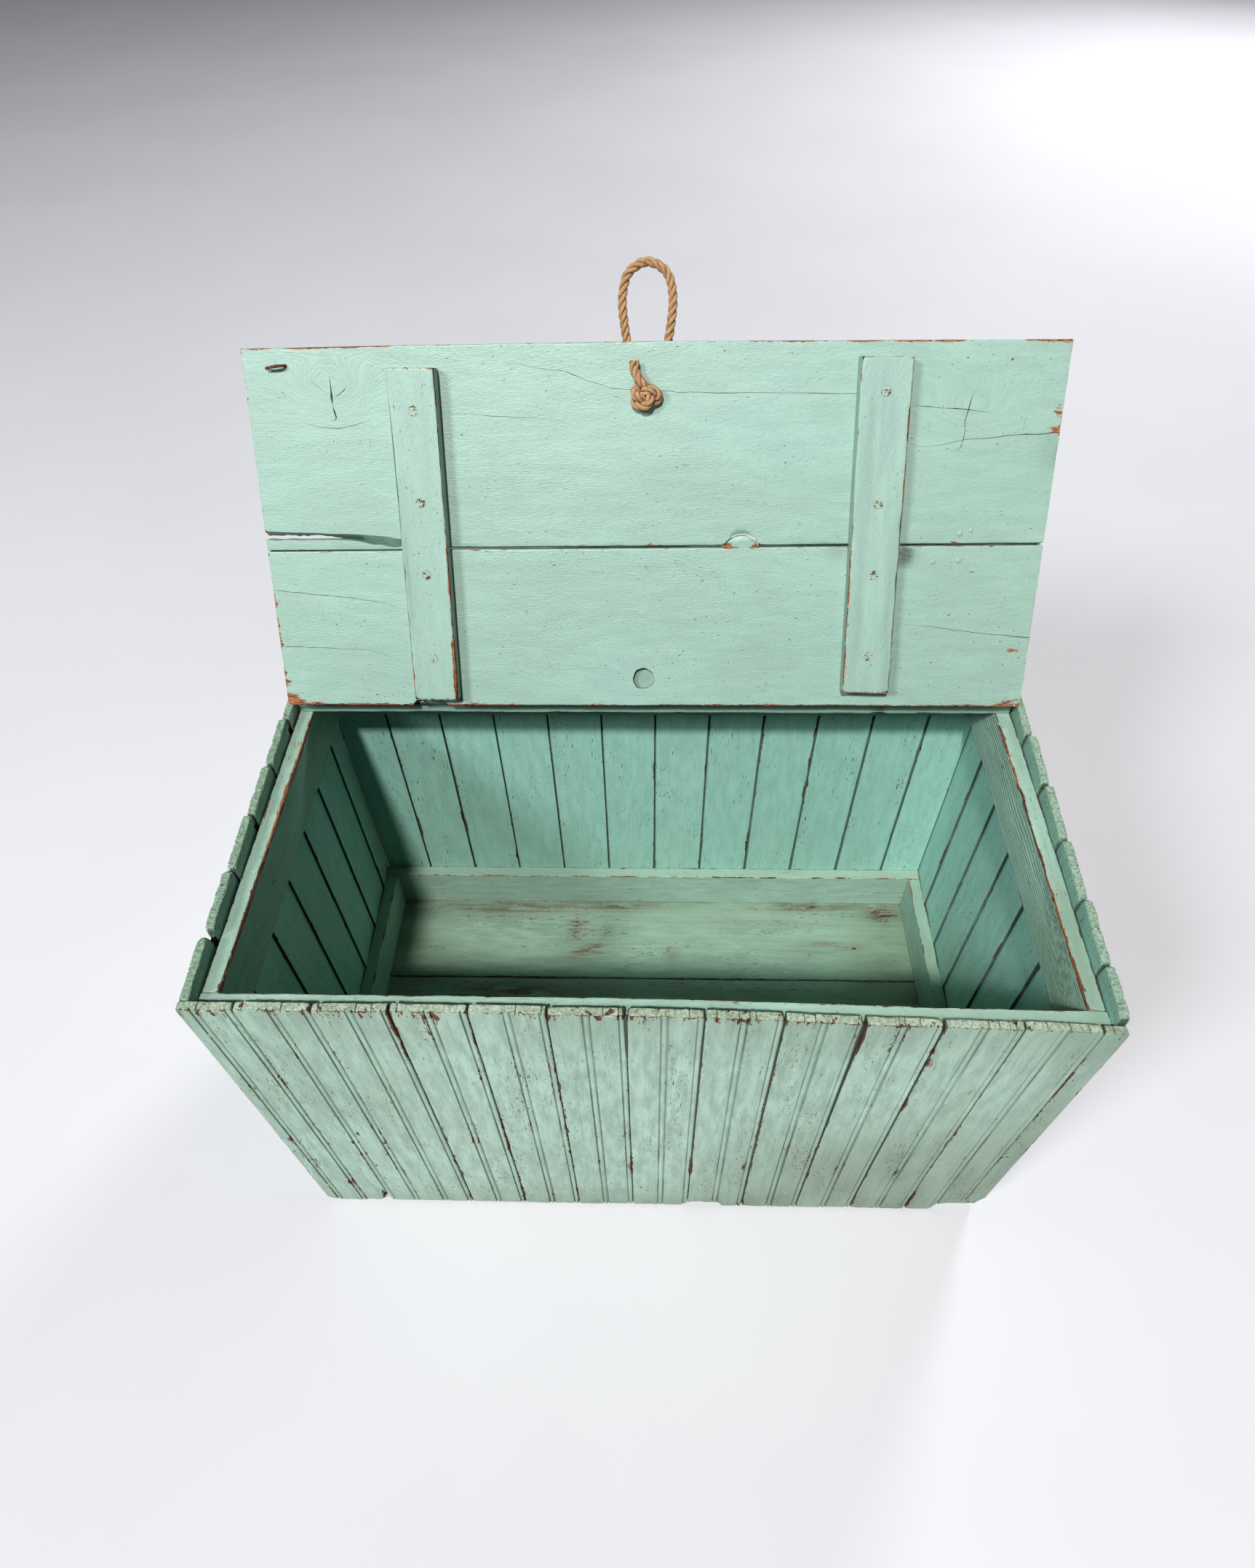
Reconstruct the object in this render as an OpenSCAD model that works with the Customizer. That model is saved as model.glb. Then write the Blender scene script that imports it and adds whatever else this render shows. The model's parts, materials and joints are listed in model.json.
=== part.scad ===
// Storage bench: a tongue-and-groove beadboard chest with a two-plank lid on butt hinges.
// The lid is drawn leaning back, fully open. The origin is the middle of the underside, +Y is the back.

/* [Case] */
// Outside width of the case
case_w = 1067; // [950:1:1180]
// Outside depth of the case
case_d = 610; // [540:1:680]
// Height of the wall boards
wall_h = 671; // [560:1:760]
// How far the wall boards stand above the top rails
board_lip = 14.7; // [12:0.1:18]

/* [Beadboard] */
// Thickness of a wall board
board_t = 11; // [10:0.5:13]
// Width that one board covers, joint to joint
board_cover = 88.7; // [84:0.1:92]
// Open joint between two boards
board_gap = 0.6; // [0.4:0.1:1.5]
// Width of the first front board, ripped to fit
front_first_w = 64.5; // [50:0.5:80]
// Width of the first back board, ripped to fit
back_first_w = 72.7; // [50:0.1:80]
// Width of the rear board of the left wall, ripped to fit
left_first_w = 61.5; // [50:0.5:80]
// Width of the front board of the right wall, ripped to fit
right_first_w = 67.5; // [50:0.5:80]
// Gap that has opened beside the front board of the left wall
left_split_gap = 8.5; // [1:0.5:12]

/* [Rails and floor] */
// Thickness of the rails
rail_t = 22; // [18:0.5:26]
// Height of the rails
rail_h = 89; // [70:1:100]
// Thickness of the floor planks
floor_t = 30; // [20:1:40]
// Number of floor planks; an odd number keeps one plank under the origin
floor_planks = 3; // [3:2:5]

/* [Lid] */
// Thickness of the lid planks
lid_t = 21; // [18:0.5:24]
// Length of the lid, end to end
lid_w = 1040; // [920:1:1040]
// Front-to-back size of the lid
lid_d = 468; // [440:1:470]
// Front-to-back size of the rear lid plank
rear_plank_d = 224; // [180:1:260]
// Open joint between the two lid planks
lid_seam = 2.7; // [1:0.1:4]
// How far the lid has been opened from closed, in degrees
lid_open = 118.7; // [0:0.1:125]

/* [Battens] */
// Thickness of a batten
batten_t = 22; // [12:0.5:24]
// Width of the left and the right batten
batten_w = [62, 65];
// Length of the left and the right batten
batten_len = [430, 428];

/* [Hinges] */
// Distance of each hinge from the middle of the lid
hinge_x = 316; // [200:1:400]
// Length of a hinge along its pin
hinge_len = 64; // [50:1:80]
// Width of one hinge leaf
leaf_w = 30; // [20:1:36]
// Thickness of a hinge leaf
leaf_t = 2; // [1.5:0.1:2.5]
// Radius of the hinge pin
pin_r = 1.7; // [1.2:0.1:2]

/* [Rope handle] */
// Diameter of the rope
rope_d = 12; // [10:0.5:12.5]

/* [Hidden] */
eps = 0.5;
curve_fn = 48;

// Heights that the case and the lid share
rail_top = wall_h - board_lip;
lid_rest_gap = 0.3;
lid_bottom = rail_top + lid_rest_gap;
lid_top = lid_bottom + lid_t;

// Places along the depth, from the front face to the back face
front_y = -case_d / 2;
back_y = case_d / 2;
inner_x = case_w / 2 - board_t;
inner_y = case_d / 2 - board_t;
rail_gap = 0.5;

// The hinge pins' axis, and the joint between lid and fixed plank on either side of it
hinge_y = 187;
pin_rise = 1.6;
pivot_z = lid_top + pin_rise;
joint_half = 1.2;
lid_back = hinge_y - joint_half;
plank_front = hinge_y + joint_half;
front_plank_v = rear_plank_d + lid_seam;

// Bead and tongue of a wall board
bead_w = 7;
quirk_r = 1.1;
tongue_l = 6;
tongue_t = 3.4;
groove_play = 0.2;

// Fasteners
nail_r = 1.3;
nail_len = 32;
nail_head_r = 3.2;
nail_head_t = 1.2;
nail_proud = 0.4;
nail_rows = [floor_t + rail_h / 2, rail_top - rail_h / 2];
// The end walls' nails sit lower, so that they pass the others inside the corners
end_nail_drop = 14;
screw_head_r = 6.2;
screw_head_t = 3;
screw_proud = 0.4;
screw_len = 38;
screw_r = 2.4;
slot_w = 1.4;
slot_deep = 1.2;
hinge_screw_r = 1.8;
hinge_head_r = 4;
hinge_head_t = 1.6;
hinge_screw_len = 16;

// Hinge details
knuckle_r = 3.5;
knuckles = 5;
knuckle_len = hinge_len / knuckles;
knuckle_gap = 0.4;
leaf_clear = 4.4;
pin_clear = 0.05;
pin_head_r = 2.7;
pin_head_t = 1;
pocket_r = 4.4;
pocket_extra = 4;
screw_holes = [-22, 0, 22];

// Lid features: places are [across, distance from the hinge edge]
batten_mid = [-302.3, 293.2];
batten_back = [13.6, 25];
batten_turn = [0.25, 1];
batten_screws_v = [[74, 188, 281, 393], [78, 187, 278, 413]];
blind_hole = [-11, 43.5];
blind_r = 16;
blind_deep = 10;
rope_hole = [-9, 411];
rope_hole_r = 13;
half_notch_x = 120;
half_notch_r = 19;
broken_edge = [[-342, -1], [-290, -1], [-300, 9], [-334, 9]];
broken_deep = 15;
split_tip = [-345, 229];
split_mouth = [237, 241];
bent_nail_at = [-472, 447];
bent_r = 1.9;
bent_stem = 5;
bent_sunk = 12;
bent_reach = 20;
bent_turn = [0, -94, 8];
bent_head_r = 3.4;
knot_gap = 0.4;
knot_ring_r = 14;
knot_strand_r = 7.5;
knot_core_r = 11;
knot_core_z = -13;
tail_end = [-6, -10, -16];
tail_turn = [72, 0, -25];
tail_len = 26;

// Wall boards: where the joints fall along a wall, counted from its left end seen from outside.
// A last strip narrower than least_strip is left on the board before it
least_strip = 20;
function edges(length, first) = [
  0,
  for (k = [0 : floor((length - first - least_strip) / board_cover)]) first + k * board_cover,
  length
];
side_len = case_d - board_t;
back_len = 2 * inner_x;
front_edges = edges(case_w, front_first_w);
back_edges = edges(back_len, back_first_w);
left_edges = edges(side_len, left_first_w);
right_edges = edges(side_len, right_first_w);
front_n = len(front_edges) - 1;
back_n = len(back_edges) - 1;
left_n = len(left_edges) - 1;
right_n = len(right_edges) - 1;

function numbered(stem, n) = [for (i = [1 : n]) str(stem, i)];

// Places for the four walls: each turns a strip that runs along +X, outer face at y = 0
module on_front() { translate([-case_w / 2, front_y, 0]) children(); }
module on_right() { translate([case_w / 2, -inner_y, 0]) rotate([0, 0, 90]) children(); }
module on_back() { translate([inner_x, back_y, 0]) rotate([0, 0, 180]) children(); }
module on_left() { translate([-case_w / 2, back_y, 0]) rotate([0, 0, -90]) children(); }

// Puts a piece drawn with the lid closed where the leaning lid holds it
module at_lid() {
  translate([0, hinge_y, pivot_z]) rotate([-lid_open, 0, 0])
    translate([0, -hinge_y, -pivot_z]) children();
}

// Puts a piece at a place on the lid's underside, the lid closed
module under_lid(place) {
  translate([place[0], lid_back - place[1], lid_bottom]) children();
}

// Outline of one wall board from above, its outer face along y = 0
module board_outline(w, has_tongue, has_groove) {
  mid = w - board_cover / 2;
  edge_quirk = w - bead_w;
  mid_quirks = mid > bead_w + 2 ? [mid - bead_w / 2, mid + bead_w / 2] : [];
  quirks = w > board_cover / 2 ? concat([edge_quirk], mid_quirks) : [];
  difference() {
    union() {
      square([w, board_t]);
      if (has_tongue)
        translate([w - eps, (board_t - tongue_t) / 2]) square([tongue_l + eps, tongue_t]);
    }
    if (has_groove)
      translate([-eps, (board_t - tongue_t) / 2 - groove_play])
        square([tongue_l + eps + 1, tongue_t + 2 * groove_play]);
    for (x = quirks) translate([x, 0]) circle(r = quirk_r, $fn = 16);
  }
}

// Board i of a wall, in the wall's own strip
module wall_board(marks, i, extra_gap = 0, tall = wall_h) {
  last = len(marks) - 1;
  start = marks[i - 1] + (i == 1 ? 0 : board_gap / 2 + extra_gap);
  end = marks[i] - (i == last ? 0 : board_gap / 2);
  translate([start, 0, 0]) linear_extrude(tall)
    board_outline(end - start, i < last, i > 1 && extra_gap == 0);
}

module front_board(i) { color("#8fb5a3") on_front() wall_board(front_edges, i); }
module right_board(i) { color("#8ab09e") on_right() wall_board(right_edges, i); }
// The back boards end under the fixed plank
module back_boards() {
  color("#86ac9b") on_back() for (i = [1 : back_n]) wall_board(back_edges, i, tall = rail_top);
}
module left_board(i) {
  color("#8ab09e") on_left() wall_board(left_edges, i, i == left_n ? left_split_gap : 0);
}

// A rail that runs the case's full inner width, against the front or the back boards
module long_rail(side, z) {
  y = side < 0 ? -inner_y : inner_y - rail_t;
  translate([-inner_x, y, z]) cube([2 * inner_x, rail_t, rail_h]);
}

// A rail along one end, between the two long rails
module end_rail(side, z) {
  reach = inner_y - rail_t;
  x = side < 0 ? -inner_x + rail_gap : inner_x - rail_gap - rail_t;
  translate([x, -reach, z]) cube([rail_t, 2 * reach, rail_h]);
}

module front_top_rail() { color("#a3cdb9") long_rail(-1, rail_top - rail_h); }
module back_top_rail() { color("#a3cdb9") long_rail(1, rail_top - rail_h); }
module left_top_rail() { color("#a3cdb9") end_rail(-1, rail_top - rail_h); }
module right_top_rail() { color("#a3cdb9") end_rail(1, rail_top - rail_h); }
module front_bottom_rail() { color("#8fbba8") long_rail(-1, floor_t); }
module back_bottom_rail() { color("#8fbba8") long_rail(1, floor_t); }
module left_bottom_rail() { color("#8fbba8") end_rail(-1, floor_t); }
module right_bottom_rail() { color("#8fbba8") end_rail(1, floor_t); }

floor_plank_d = (2 * inner_y - (floor_planks - 1) * board_gap) / floor_planks;
module floor_plank(i) {
  y = -inner_y + (i - 1) * (floor_plank_d + board_gap);
  color("#a9b7a2") translate([-inner_x, y, 0]) cube([2 * inner_x, floor_plank_d, floor_t]);
}

// Room for the barrel of each hinge in the planks beside it
module hinge_pockets() {
  for (side = [-1, 1])
    translate([side * hinge_x - hinge_len / 2 - pocket_extra, hinge_y, pivot_z])
      rotate([0, 90, 0]) cylinder(r = pocket_r, h = hinge_len + 2 * pocket_extra, $fn = curve_fn);
}

module back_plank() {
  color("#a8d6c2") difference() {
    translate([-lid_w / 2, plank_front, rail_top])
      cube([lid_w, back_y - plank_front, lid_top - rail_top]);
    hinge_pockets();
  }
}

// One nail, its head on y = 0 and its shank along +Y
module wall_nail() {
  rotate([-90, 0, 0]) {
    translate([0, 0, -nail_proud]) cylinder(r = nail_head_r, h = nail_head_t, $fn = 24);
    cylinder(r = nail_r, h = nail_len, $fn = 16);
  }
}

// Two nails to a board in each rail, or one in a narrow strip
module nails_along(marks, drop = 0) {
  for (i = [1 : len(marks) - 1]) {
    w = marks[i] - marks[i - 1];
    shares = w < board_cover / 2 ? [0.5] : [0.26, 0.74];
    for (s = shares, z = nail_rows) translate([marks[i - 1] + s * w, 0, z - drop]) wall_nail();
  }
}
module board_nails() {
  color("#6f8377") {
    on_front() nails_along(front_edges);
    on_right() nails_along(right_edges, end_nail_drop);
    on_back() nails_along(back_edges);
    on_left() nails_along(left_edges, end_nail_drop);
  }
}

// Half a hinge, its pin along X through the origin and its leaf towards +Y
module hinge_leaf(own, bore_r) {
  difference() {
    union() {
      translate([-hinge_len / 2, leaf_clear, -pin_rise])
        cube([hinge_len, leaf_w - leaf_clear, leaf_t]);
      for (i = own) translate([-hinge_len / 2 + i * knuckle_len + knuckle_gap / 2, 0, 0]) {
        rotate([0, 90, 0])
          cylinder(r = knuckle_r, h = knuckle_len - knuckle_gap, $fn = curve_fn);
        translate([0, 0, -pin_rise]) cube([knuckle_len - knuckle_gap, leaf_clear + eps, leaf_t]);
      }
    }
    translate([-hinge_len, 0, 0]) rotate([0, 90, 0])
      cylinder(r = bore_r, h = 2 * hinge_len, $fn = curve_fn);
    for (x = screw_holes) translate([x, leaf_w * 0.6, -5])
      cylinder(r = hinge_screw_r + pin_clear, h = 10, $fn = 24);
  }
}
module at_hinge(side) { translate([side * hinge_x, hinge_y, pivot_z]) children(); }
module fixed_leaf(side) { color("#7d9a8b") at_hinge(side) hinge_leaf([0, 2, 4], pin_r); }
module moving_leaf(side) {
  color("#7d9a8b") at_lid() at_hinge(side) rotate([0, 0, 180])
    hinge_leaf([1, 3], pin_r + pin_clear);
}
module hinge_pin(side) {
  color("#6a5346") at_hinge(side) rotate([0, 90, 0]) {
    translate([0, 0, -hinge_len / 2]) cylinder(r = pin_r, h = hinge_len, $fn = curve_fn);
    for (end = [-1, 1]) translate([0, 0, end * (hinge_len + pin_head_t) / 2])
      cylinder(r = pin_head_r, h = pin_head_t, center = true, $fn = 24);
  }
}

// Three round-head screws that hold a leaf reaching towards +Y
module leaf_screws() {
  for (x = screw_holes) translate([x, leaf_w * 0.6, leaf_t - pin_rise]) {
    difference() {
      cylinder(r = hinge_head_r, h = hinge_head_t, $fn = 24);
      translate([-hinge_head_r, -slot_w / 2, hinge_head_t - slot_deep / 2])
        cube([2 * hinge_head_r, slot_w, slot_deep]);
    }
    translate([0, 0, -hinge_screw_len]) cylinder(r = hinge_screw_r, h = hinge_screw_len, $fn = 16);
  }
}
module plank_hinge_screws() {
  color("#8a7a6a") for (side = [-1, 1]) at_hinge(side) leaf_screws();
}
module lid_hinge_screws() {
  color("#8a7a6a") at_lid() for (side = [-1, 1]) at_hinge(side) rotate([0, 0, 180]) leaf_screws();
}

module lid_rear_plank() {
  color("#aadcc8") at_lid() difference() {
    translate([-lid_w / 2, lid_back - rear_plank_d, lid_bottom]) cube([lid_w, rear_plank_d, lid_t]);
    under_lid(blind_hole) translate([0, 0, -eps])
      cylinder(r = blind_r, h = blind_deep + eps, $fn = curve_fn);
    // the arris that broke away under the left hinge
    translate([0, lid_back, lid_bottom - eps]) mirror([0, 1, 0])
      linear_extrude(broken_deep + eps) polygon(broken_edge);
    hinge_pockets();
  }
}

module lid_front_plank() {
  color("#aadcc8") at_lid() difference() {
    translate([-lid_w / 2, lid_back - lid_d, lid_bottom])
      cube([lid_w, lid_d - front_plank_v, lid_t]);
    under_lid(rope_hole) translate([0, 0, -eps])
      cylinder(r = rope_hole_r, h = lid_t + 2 * eps, $fn = curve_fn);
    under_lid([half_notch_x, front_plank_v]) translate([0, 0, -eps])
      cylinder(r = half_notch_r, h = lid_t + 2 * eps, $fn = curve_fn);
    // the split that runs in from the left end
    translate([0, lid_back, lid_bottom - eps]) mirror([0, 1, 0]) linear_extrude(lid_t + 2 * eps)
      polygon([[-lid_w / 2 - eps, split_mouth[0]], split_tip, [-lid_w / 2 - eps, split_mouth[1]]]);
  }
}

// Batten k: 0 is the left one, 1 the right one
module batten(k) {
  mid_v = batten_back[k] + batten_len[k] / 2;
  color("#a6d4c1") at_lid() under_lid([batten_mid[k], mid_v]) rotate([0, 0, batten_turn[k]])
    translate([-batten_w[k] / 2, -batten_len[k] / 2, -batten_t])
      cube([batten_w[k], batten_len[k], batten_t]);
}

// A slotted screw driven up through a batten
module batten_screw() {
  translate([0, 0, -batten_t - screw_proud]) difference() {
    union() {
      cylinder(r1 = screw_head_r, r2 = screw_r, h = screw_head_t, $fn = curve_fn);
      cylinder(r = screw_r, h = screw_len, $fn = 24);
    }
    translate([-screw_head_r, -slot_w / 2, -eps])
      cube([2 * screw_head_r, slot_w, slot_deep + eps]);
  }
}
module batten_screws() {
  color("#8b8f80") at_lid() for (k = [0, 1], v = batten_screws_v[k]) {
    lean = tan(batten_turn[k]) * (v - batten_back[k] - batten_len[k] / 2);
    under_lid([batten_mid[k] - lean, v]) batten_screw();
  }
}

// A round nail left in the lid, hammered over towards the left end
module bent_nail() {
  color("#6b4a39") at_lid() under_lid(bent_nail_at) translate([0, 0, -bent_stem]) {
    cylinder(r = bent_r, h = bent_stem + bent_sunk, $fn = curve_fn);
    sphere(r = bent_r * 1.1, $fn = curve_fn);
    rotate(bent_turn) {
      cylinder(r = bent_r, h = bent_reach, $fn = curve_fn);
      translate([0, 0, bent_reach]) cylinder(r = bent_head_r, h = nail_head_t, $fn = curve_fn);
    }
  }
}

// Route of the handle rope: [across, distance from the hinge edge, height over the lid's top face].
// One half, from inside the knot out through the hole to the top of the loop
half_route = [
  [6.2, 411, -25], [6.2, 411, -12], [6.6, 411.5, 0], [8.4, 416, 12], [12, 428, 20],
  [18.5, 446, 23], [25, 468, 22], [30.5, 500, 19], [32, 528, 17], [24, 554, 15], [0, 566, 14]
];
rope_mid_x = [-9, -6.5];
half_n = len(half_route);
// The middle of the loop drifts a little sideways from the hole to the top
function mid_x(v) = rope_mid_x[0] + (rope_mid_x[1] - rope_mid_x[0]) * min(1, (v - 411) / 60);
function leg(p, side) = [mid_x(p[1]) + side * p[0], lid_back - p[1], lid_top + p[2]];
rope_route = concat(
  [for (i = [0 : half_n - 1]) leg(half_route[i], -1)],
  [for (i = [half_n - 2 : -1 : 0]) leg(half_route[i], 1)]
);

// A smooth curve through the points, t running from 0 to the last point's number
function spline(p, t) =
  let (last = len(p) - 1, i = min(floor(t), last - 1), u = t - i,
       a = p[max(i - 1, 0)], b = p[i], c = p[i + 1], d = p[min(i + 2, last)])
  0.5 * (2 * b + (c - a) * u + (2 * a - 5 * b + 4 * c - d) * u * u
         + (3 * b - a - 3 * c + d) * u * u * u);
function unit(v) = v / norm(v);

// A round tube along the curve, closed at both ends
module tube(p, r, sides, steps) {
  last = len(p) - 1;
  aside = unit([1, -1, 1]);
  ts = [for (k = [0 : steps]) last * k / steps];
  centres = [for (t = ts) spline(p, t)];
  points = [
    for (k = [0 : steps])
      let (along = unit(centres[min(k + 1, steps)] - centres[max(k - 1, 0)]),
           n = unit(cross(along, aside)), m = cross(along, n))
        for (j = [0 : sides - 1])
          centres[k] + r * (cos(360 * j / sides) * n + sin(360 * j / sides) * m)
  ];
  walls = [
    for (k = [0 : steps - 1], j = [0 : sides - 1])
      let (a = k * sides + j, b = k * sides + (j + 1) % sides)
        each [[a, a + sides, b + sides], [a, b + sides, b]]
  ];
  caps = [[for (j = [0 : sides - 1]) j],
          [for (j = [sides - 1 : -1 : 0]) steps * sides + j]];
  polyhedron(points, concat(walls, caps), convexity = 6);
}

module rope_handle() { color("#b58a5e") at_lid() tube(rope_route, rope_d / 2, 10, 44); }

// The knot under the lid, with the short tail that points away from the hinges
module rope_knot() {
  color("#b58a5e") at_lid() under_lid(rope_hole) {
    translate([0, 0, -knot_strand_r - knot_gap]) rotate_extrude($fn = curve_fn)
      translate([knot_ring_r, 0]) circle(r = knot_strand_r, $fn = 24);
    translate([0, 0, knot_core_z]) sphere(r = knot_core_r, $fn = 32);
    translate(tail_end) rotate(tail_turn) cylinder(r = rope_d / 2, h = tail_len, $fn = 24);
  }
}

for (i = [1 : front_n]) front_board(i);
for (i = [1 : left_n]) left_board(i);
for (i = [1 : right_n]) right_board(i);
back_boards();
front_top_rail();
back_top_rail();
left_top_rail();
right_top_rail();
front_bottom_rail();
back_bottom_rail();
left_bottom_rail();
right_bottom_rail();
for (i = [1 : floor_planks]) floor_plank(i);
back_plank();
board_nails();
fixed_leaf(-1);  // left_fixed_leaf
fixed_leaf(1);  // right_fixed_leaf
hinge_pin(-1);  // left_hinge_pin
hinge_pin(1);  // right_hinge_pin
plank_hinge_screws();
lid_rear_plank();
lid_front_plank();
batten(0);  // left_batten
batten(1);  // right_batten
batten_screws();
moving_leaf(-1);  // left_moving_leaf
moving_leaf(1);  // right_moving_leaf
lid_hinge_screws();
bent_nail();
rope_handle();
rope_knot();
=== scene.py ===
"""Storage bench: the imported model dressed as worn, painted beadboard with a plank lid and a rope handle.

Sizes are in millimetres until a piece's mesh is made, which turns them into metres.
"""

import itertools
import json
import math

import bmesh
import bpy
import numpy as np
from mathutils import Matrix, Vector


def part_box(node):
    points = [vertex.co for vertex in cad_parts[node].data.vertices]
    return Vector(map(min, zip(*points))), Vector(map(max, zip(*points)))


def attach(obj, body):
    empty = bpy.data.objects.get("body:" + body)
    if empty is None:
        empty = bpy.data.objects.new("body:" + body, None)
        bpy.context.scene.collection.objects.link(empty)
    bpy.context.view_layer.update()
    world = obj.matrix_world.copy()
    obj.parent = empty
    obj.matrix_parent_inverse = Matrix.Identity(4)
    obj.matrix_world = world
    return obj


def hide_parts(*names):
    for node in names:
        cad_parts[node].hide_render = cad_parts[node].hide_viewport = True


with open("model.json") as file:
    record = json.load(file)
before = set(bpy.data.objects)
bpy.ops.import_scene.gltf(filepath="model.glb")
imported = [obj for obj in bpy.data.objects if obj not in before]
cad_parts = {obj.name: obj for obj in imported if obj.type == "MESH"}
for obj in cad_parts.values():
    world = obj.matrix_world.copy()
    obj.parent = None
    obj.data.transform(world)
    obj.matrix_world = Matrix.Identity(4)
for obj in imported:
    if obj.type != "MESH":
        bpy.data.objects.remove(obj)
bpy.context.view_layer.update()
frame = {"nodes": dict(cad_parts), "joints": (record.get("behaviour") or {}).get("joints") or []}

MM = 0.001

# ---------------------------------------------------------------- camera and light

CAMERA_AT = (0.0049, -0.7907, 1.6382)
CAMERA_TURNS = (0.8616, -0.0434, -0.0276)
CAMERA_LENS = 21.6

# Each light: its place, its power, its width and its colour; they shine at LIT_POINT
LIGHTS = {
    "key": ((-1.14, -5.89, 9.38), 1030, 0.72, (1.0, 0.985, 0.955)),
    "side": ((-6.46, -5.70, 8.25), 700, 2.66, (0.86, 0.96, 1.0)),
    "back": ((4.50, 7.50, 4.20), 420, 2.60, (0.94, 0.98, 1.0)),
}
LIT_POINT = (0.0, 0.0, 0.55)
SKY = (0.80, 0.87, 1.0, 1.0)
SKY_STRENGTH = 0.10


def make_camera():
    """The photo's camera, from its solved place and turns."""
    rx, ry, rz = CAMERA_TURNS
    ahead = np.array([math.sin(ry) * math.cos(rx), math.cos(ry) * math.cos(rx), -math.sin(rx)])
    level = np.array([math.cos(ry), -math.sin(ry), 0.0])
    over = np.cross(level, ahead)
    right = math.cos(rz) * level + math.sin(rz) * over
    up = -math.sin(rz) * level + math.cos(rz) * over
    data = bpy.data.cameras.new("camera")
    data.lens = CAMERA_LENS
    data.clip_end = 100
    camera = bpy.data.objects.new("camera", data)
    bpy.context.scene.collection.objects.link(camera)
    matrix = np.eye(4)
    matrix[:3, 0], matrix[:3, 1], matrix[:3, 2], matrix[:3, 3] = right, up, -ahead, CAMERA_AT
    camera.matrix_world = Matrix(matrix.tolist())
    bpy.context.scene.camera = camera


def make_light():
    """The room's lamps and its soft fill."""
    for name, (place, power, width, colour) in LIGHTS.items():
        data = bpy.data.lights.new(name, "AREA")
        data.shape = "DISK"
        data.energy = power
        data.size = width
        data.color = colour
        light = bpy.data.objects.new(name, data)
        light.location = place
        light.rotation_mode = "QUATERNION"
        light.rotation_quaternion = (Vector(LIT_POINT) - Vector(place)).to_track_quat("-Z", "Y")
        bpy.context.scene.collection.objects.link(light)
    world = bpy.data.worlds.new("studio")
    world.use_nodes = True
    back = world.node_tree.nodes["Background"]
    back.inputs["Color"].default_value = SKY
    back.inputs["Strength"].default_value = SKY_STRENGTH
    bpy.context.scene.world = world
    bpy.context.scene.view_settings.view_transform = "Standard"
    bpy.context.scene.view_settings.look = "Medium High Contrast"


# ---------------------------------------------------------------- noise and box grids


def lattice(cells, seed):
    """A repeatable number from 0 to 1 for each whole-number cell."""
    h = (cells[:, 0] * 73856093) ^ (cells[:, 1] * 19349663) ^ (cells[:, 2] * 83492791)
    h = (h ^ (seed * 2654435761)) & 0xFFFFFFFF
    h = ((h ^ (h >> 15)) * 2246822519) & 0xFFFFFFFF
    h = ((h ^ (h >> 13)) * 3266489917) & 0xFFFFFFFF
    return (h ^ (h >> 16)) / 4294967295.0


def noise(p, cell, seed=0):
    """Smooth noise from -1 to 1, with features about cell millimetres long on each axis."""
    q = p / np.asarray(cell, float)
    base = np.floor(q).astype(np.int64)
    f = q - base
    f = f * f * (3 - 2 * f)
    total = np.zeros(len(p))
    for corner in itertools.product((0, 1), repeat=3):
        weight = np.prod(np.where(np.array(corner, bool), f, 1 - f), axis=1)
        total += weight * lattice(base + np.array(corner), seed)
    return 2 * total - 1


def chance(seed, low=0.0, high=1.0):
    """One repeatable number for a seed."""
    return low + (high - low) * float(lattice(np.array([[seed, 7 * seed + 3, 11]]), seed)[0])


def smooth(x, low, high):
    """Rises from 0 at low to 1 at high, without corners."""
    t = np.clip((x - low) / (high - low), 0, 1)
    return t * t * (3 - 2 * t)


def ticks(stops, step):
    """The stops in order, with even steps no longer than step between them."""
    out = [stops[0]]
    for a, b in zip(stops, stops[1:]):
        n = max(1, math.ceil((b - a) / step - 1e-6))
        out += [a + (b - a) * k / n for k in range(1, n + 1)]
    return np.array(out, float)


def edge_ticks(length, step, fine=(0.6, 1.6, 3.2, 6)):
    """Ticks over a length, closer together beside its two ends."""
    near = [x for x in fine if x < length / 2]
    return ticks([0, *near, *[length - x for x in reversed(near)], length], step)


def grid_box(xs, ys, zs):
    """The closed surface of a box cut along the given ticks, as points and four-sided faces."""
    shape = (len(xs), len(ys), len(zs))
    shell = np.ones(shape, bool)
    shell[1:-1, 1:-1, 1:-1] = False
    ids = np.full(shape, -1)
    ids[shell] = np.arange(shell.sum())
    points = np.stack(np.meshgrid(xs, ys, zs, indexing="ij"), -1)[shell]
    faces = []
    for axis, end in itertools.product(range(3), (0, -1)):
        g = np.take(ids, end, axis)
        quads = np.stack([g[:-1, :-1], g[1:, :-1], g[1:, 1:], g[:-1, 1:]], -1).reshape(-1, 4)
        outward = (end == -1) != (axis == 1)
        faces.append(quads if outward else quads[:, ::-1])
    return points, np.concatenate(faces)


def rounded(p, lo, hi, radius):
    """Rounds a box's arrises by a radius given for each point."""
    r = np.minimum(radius, 0.49 * float(np.min(hi - lo)))[:, None]
    core = np.clip(p, lo + r, hi - r)
    out = p - core
    length = np.maximum(np.linalg.norm(out, axis=1, keepdims=True), 1e-9)
    return core + out / length * r


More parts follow.
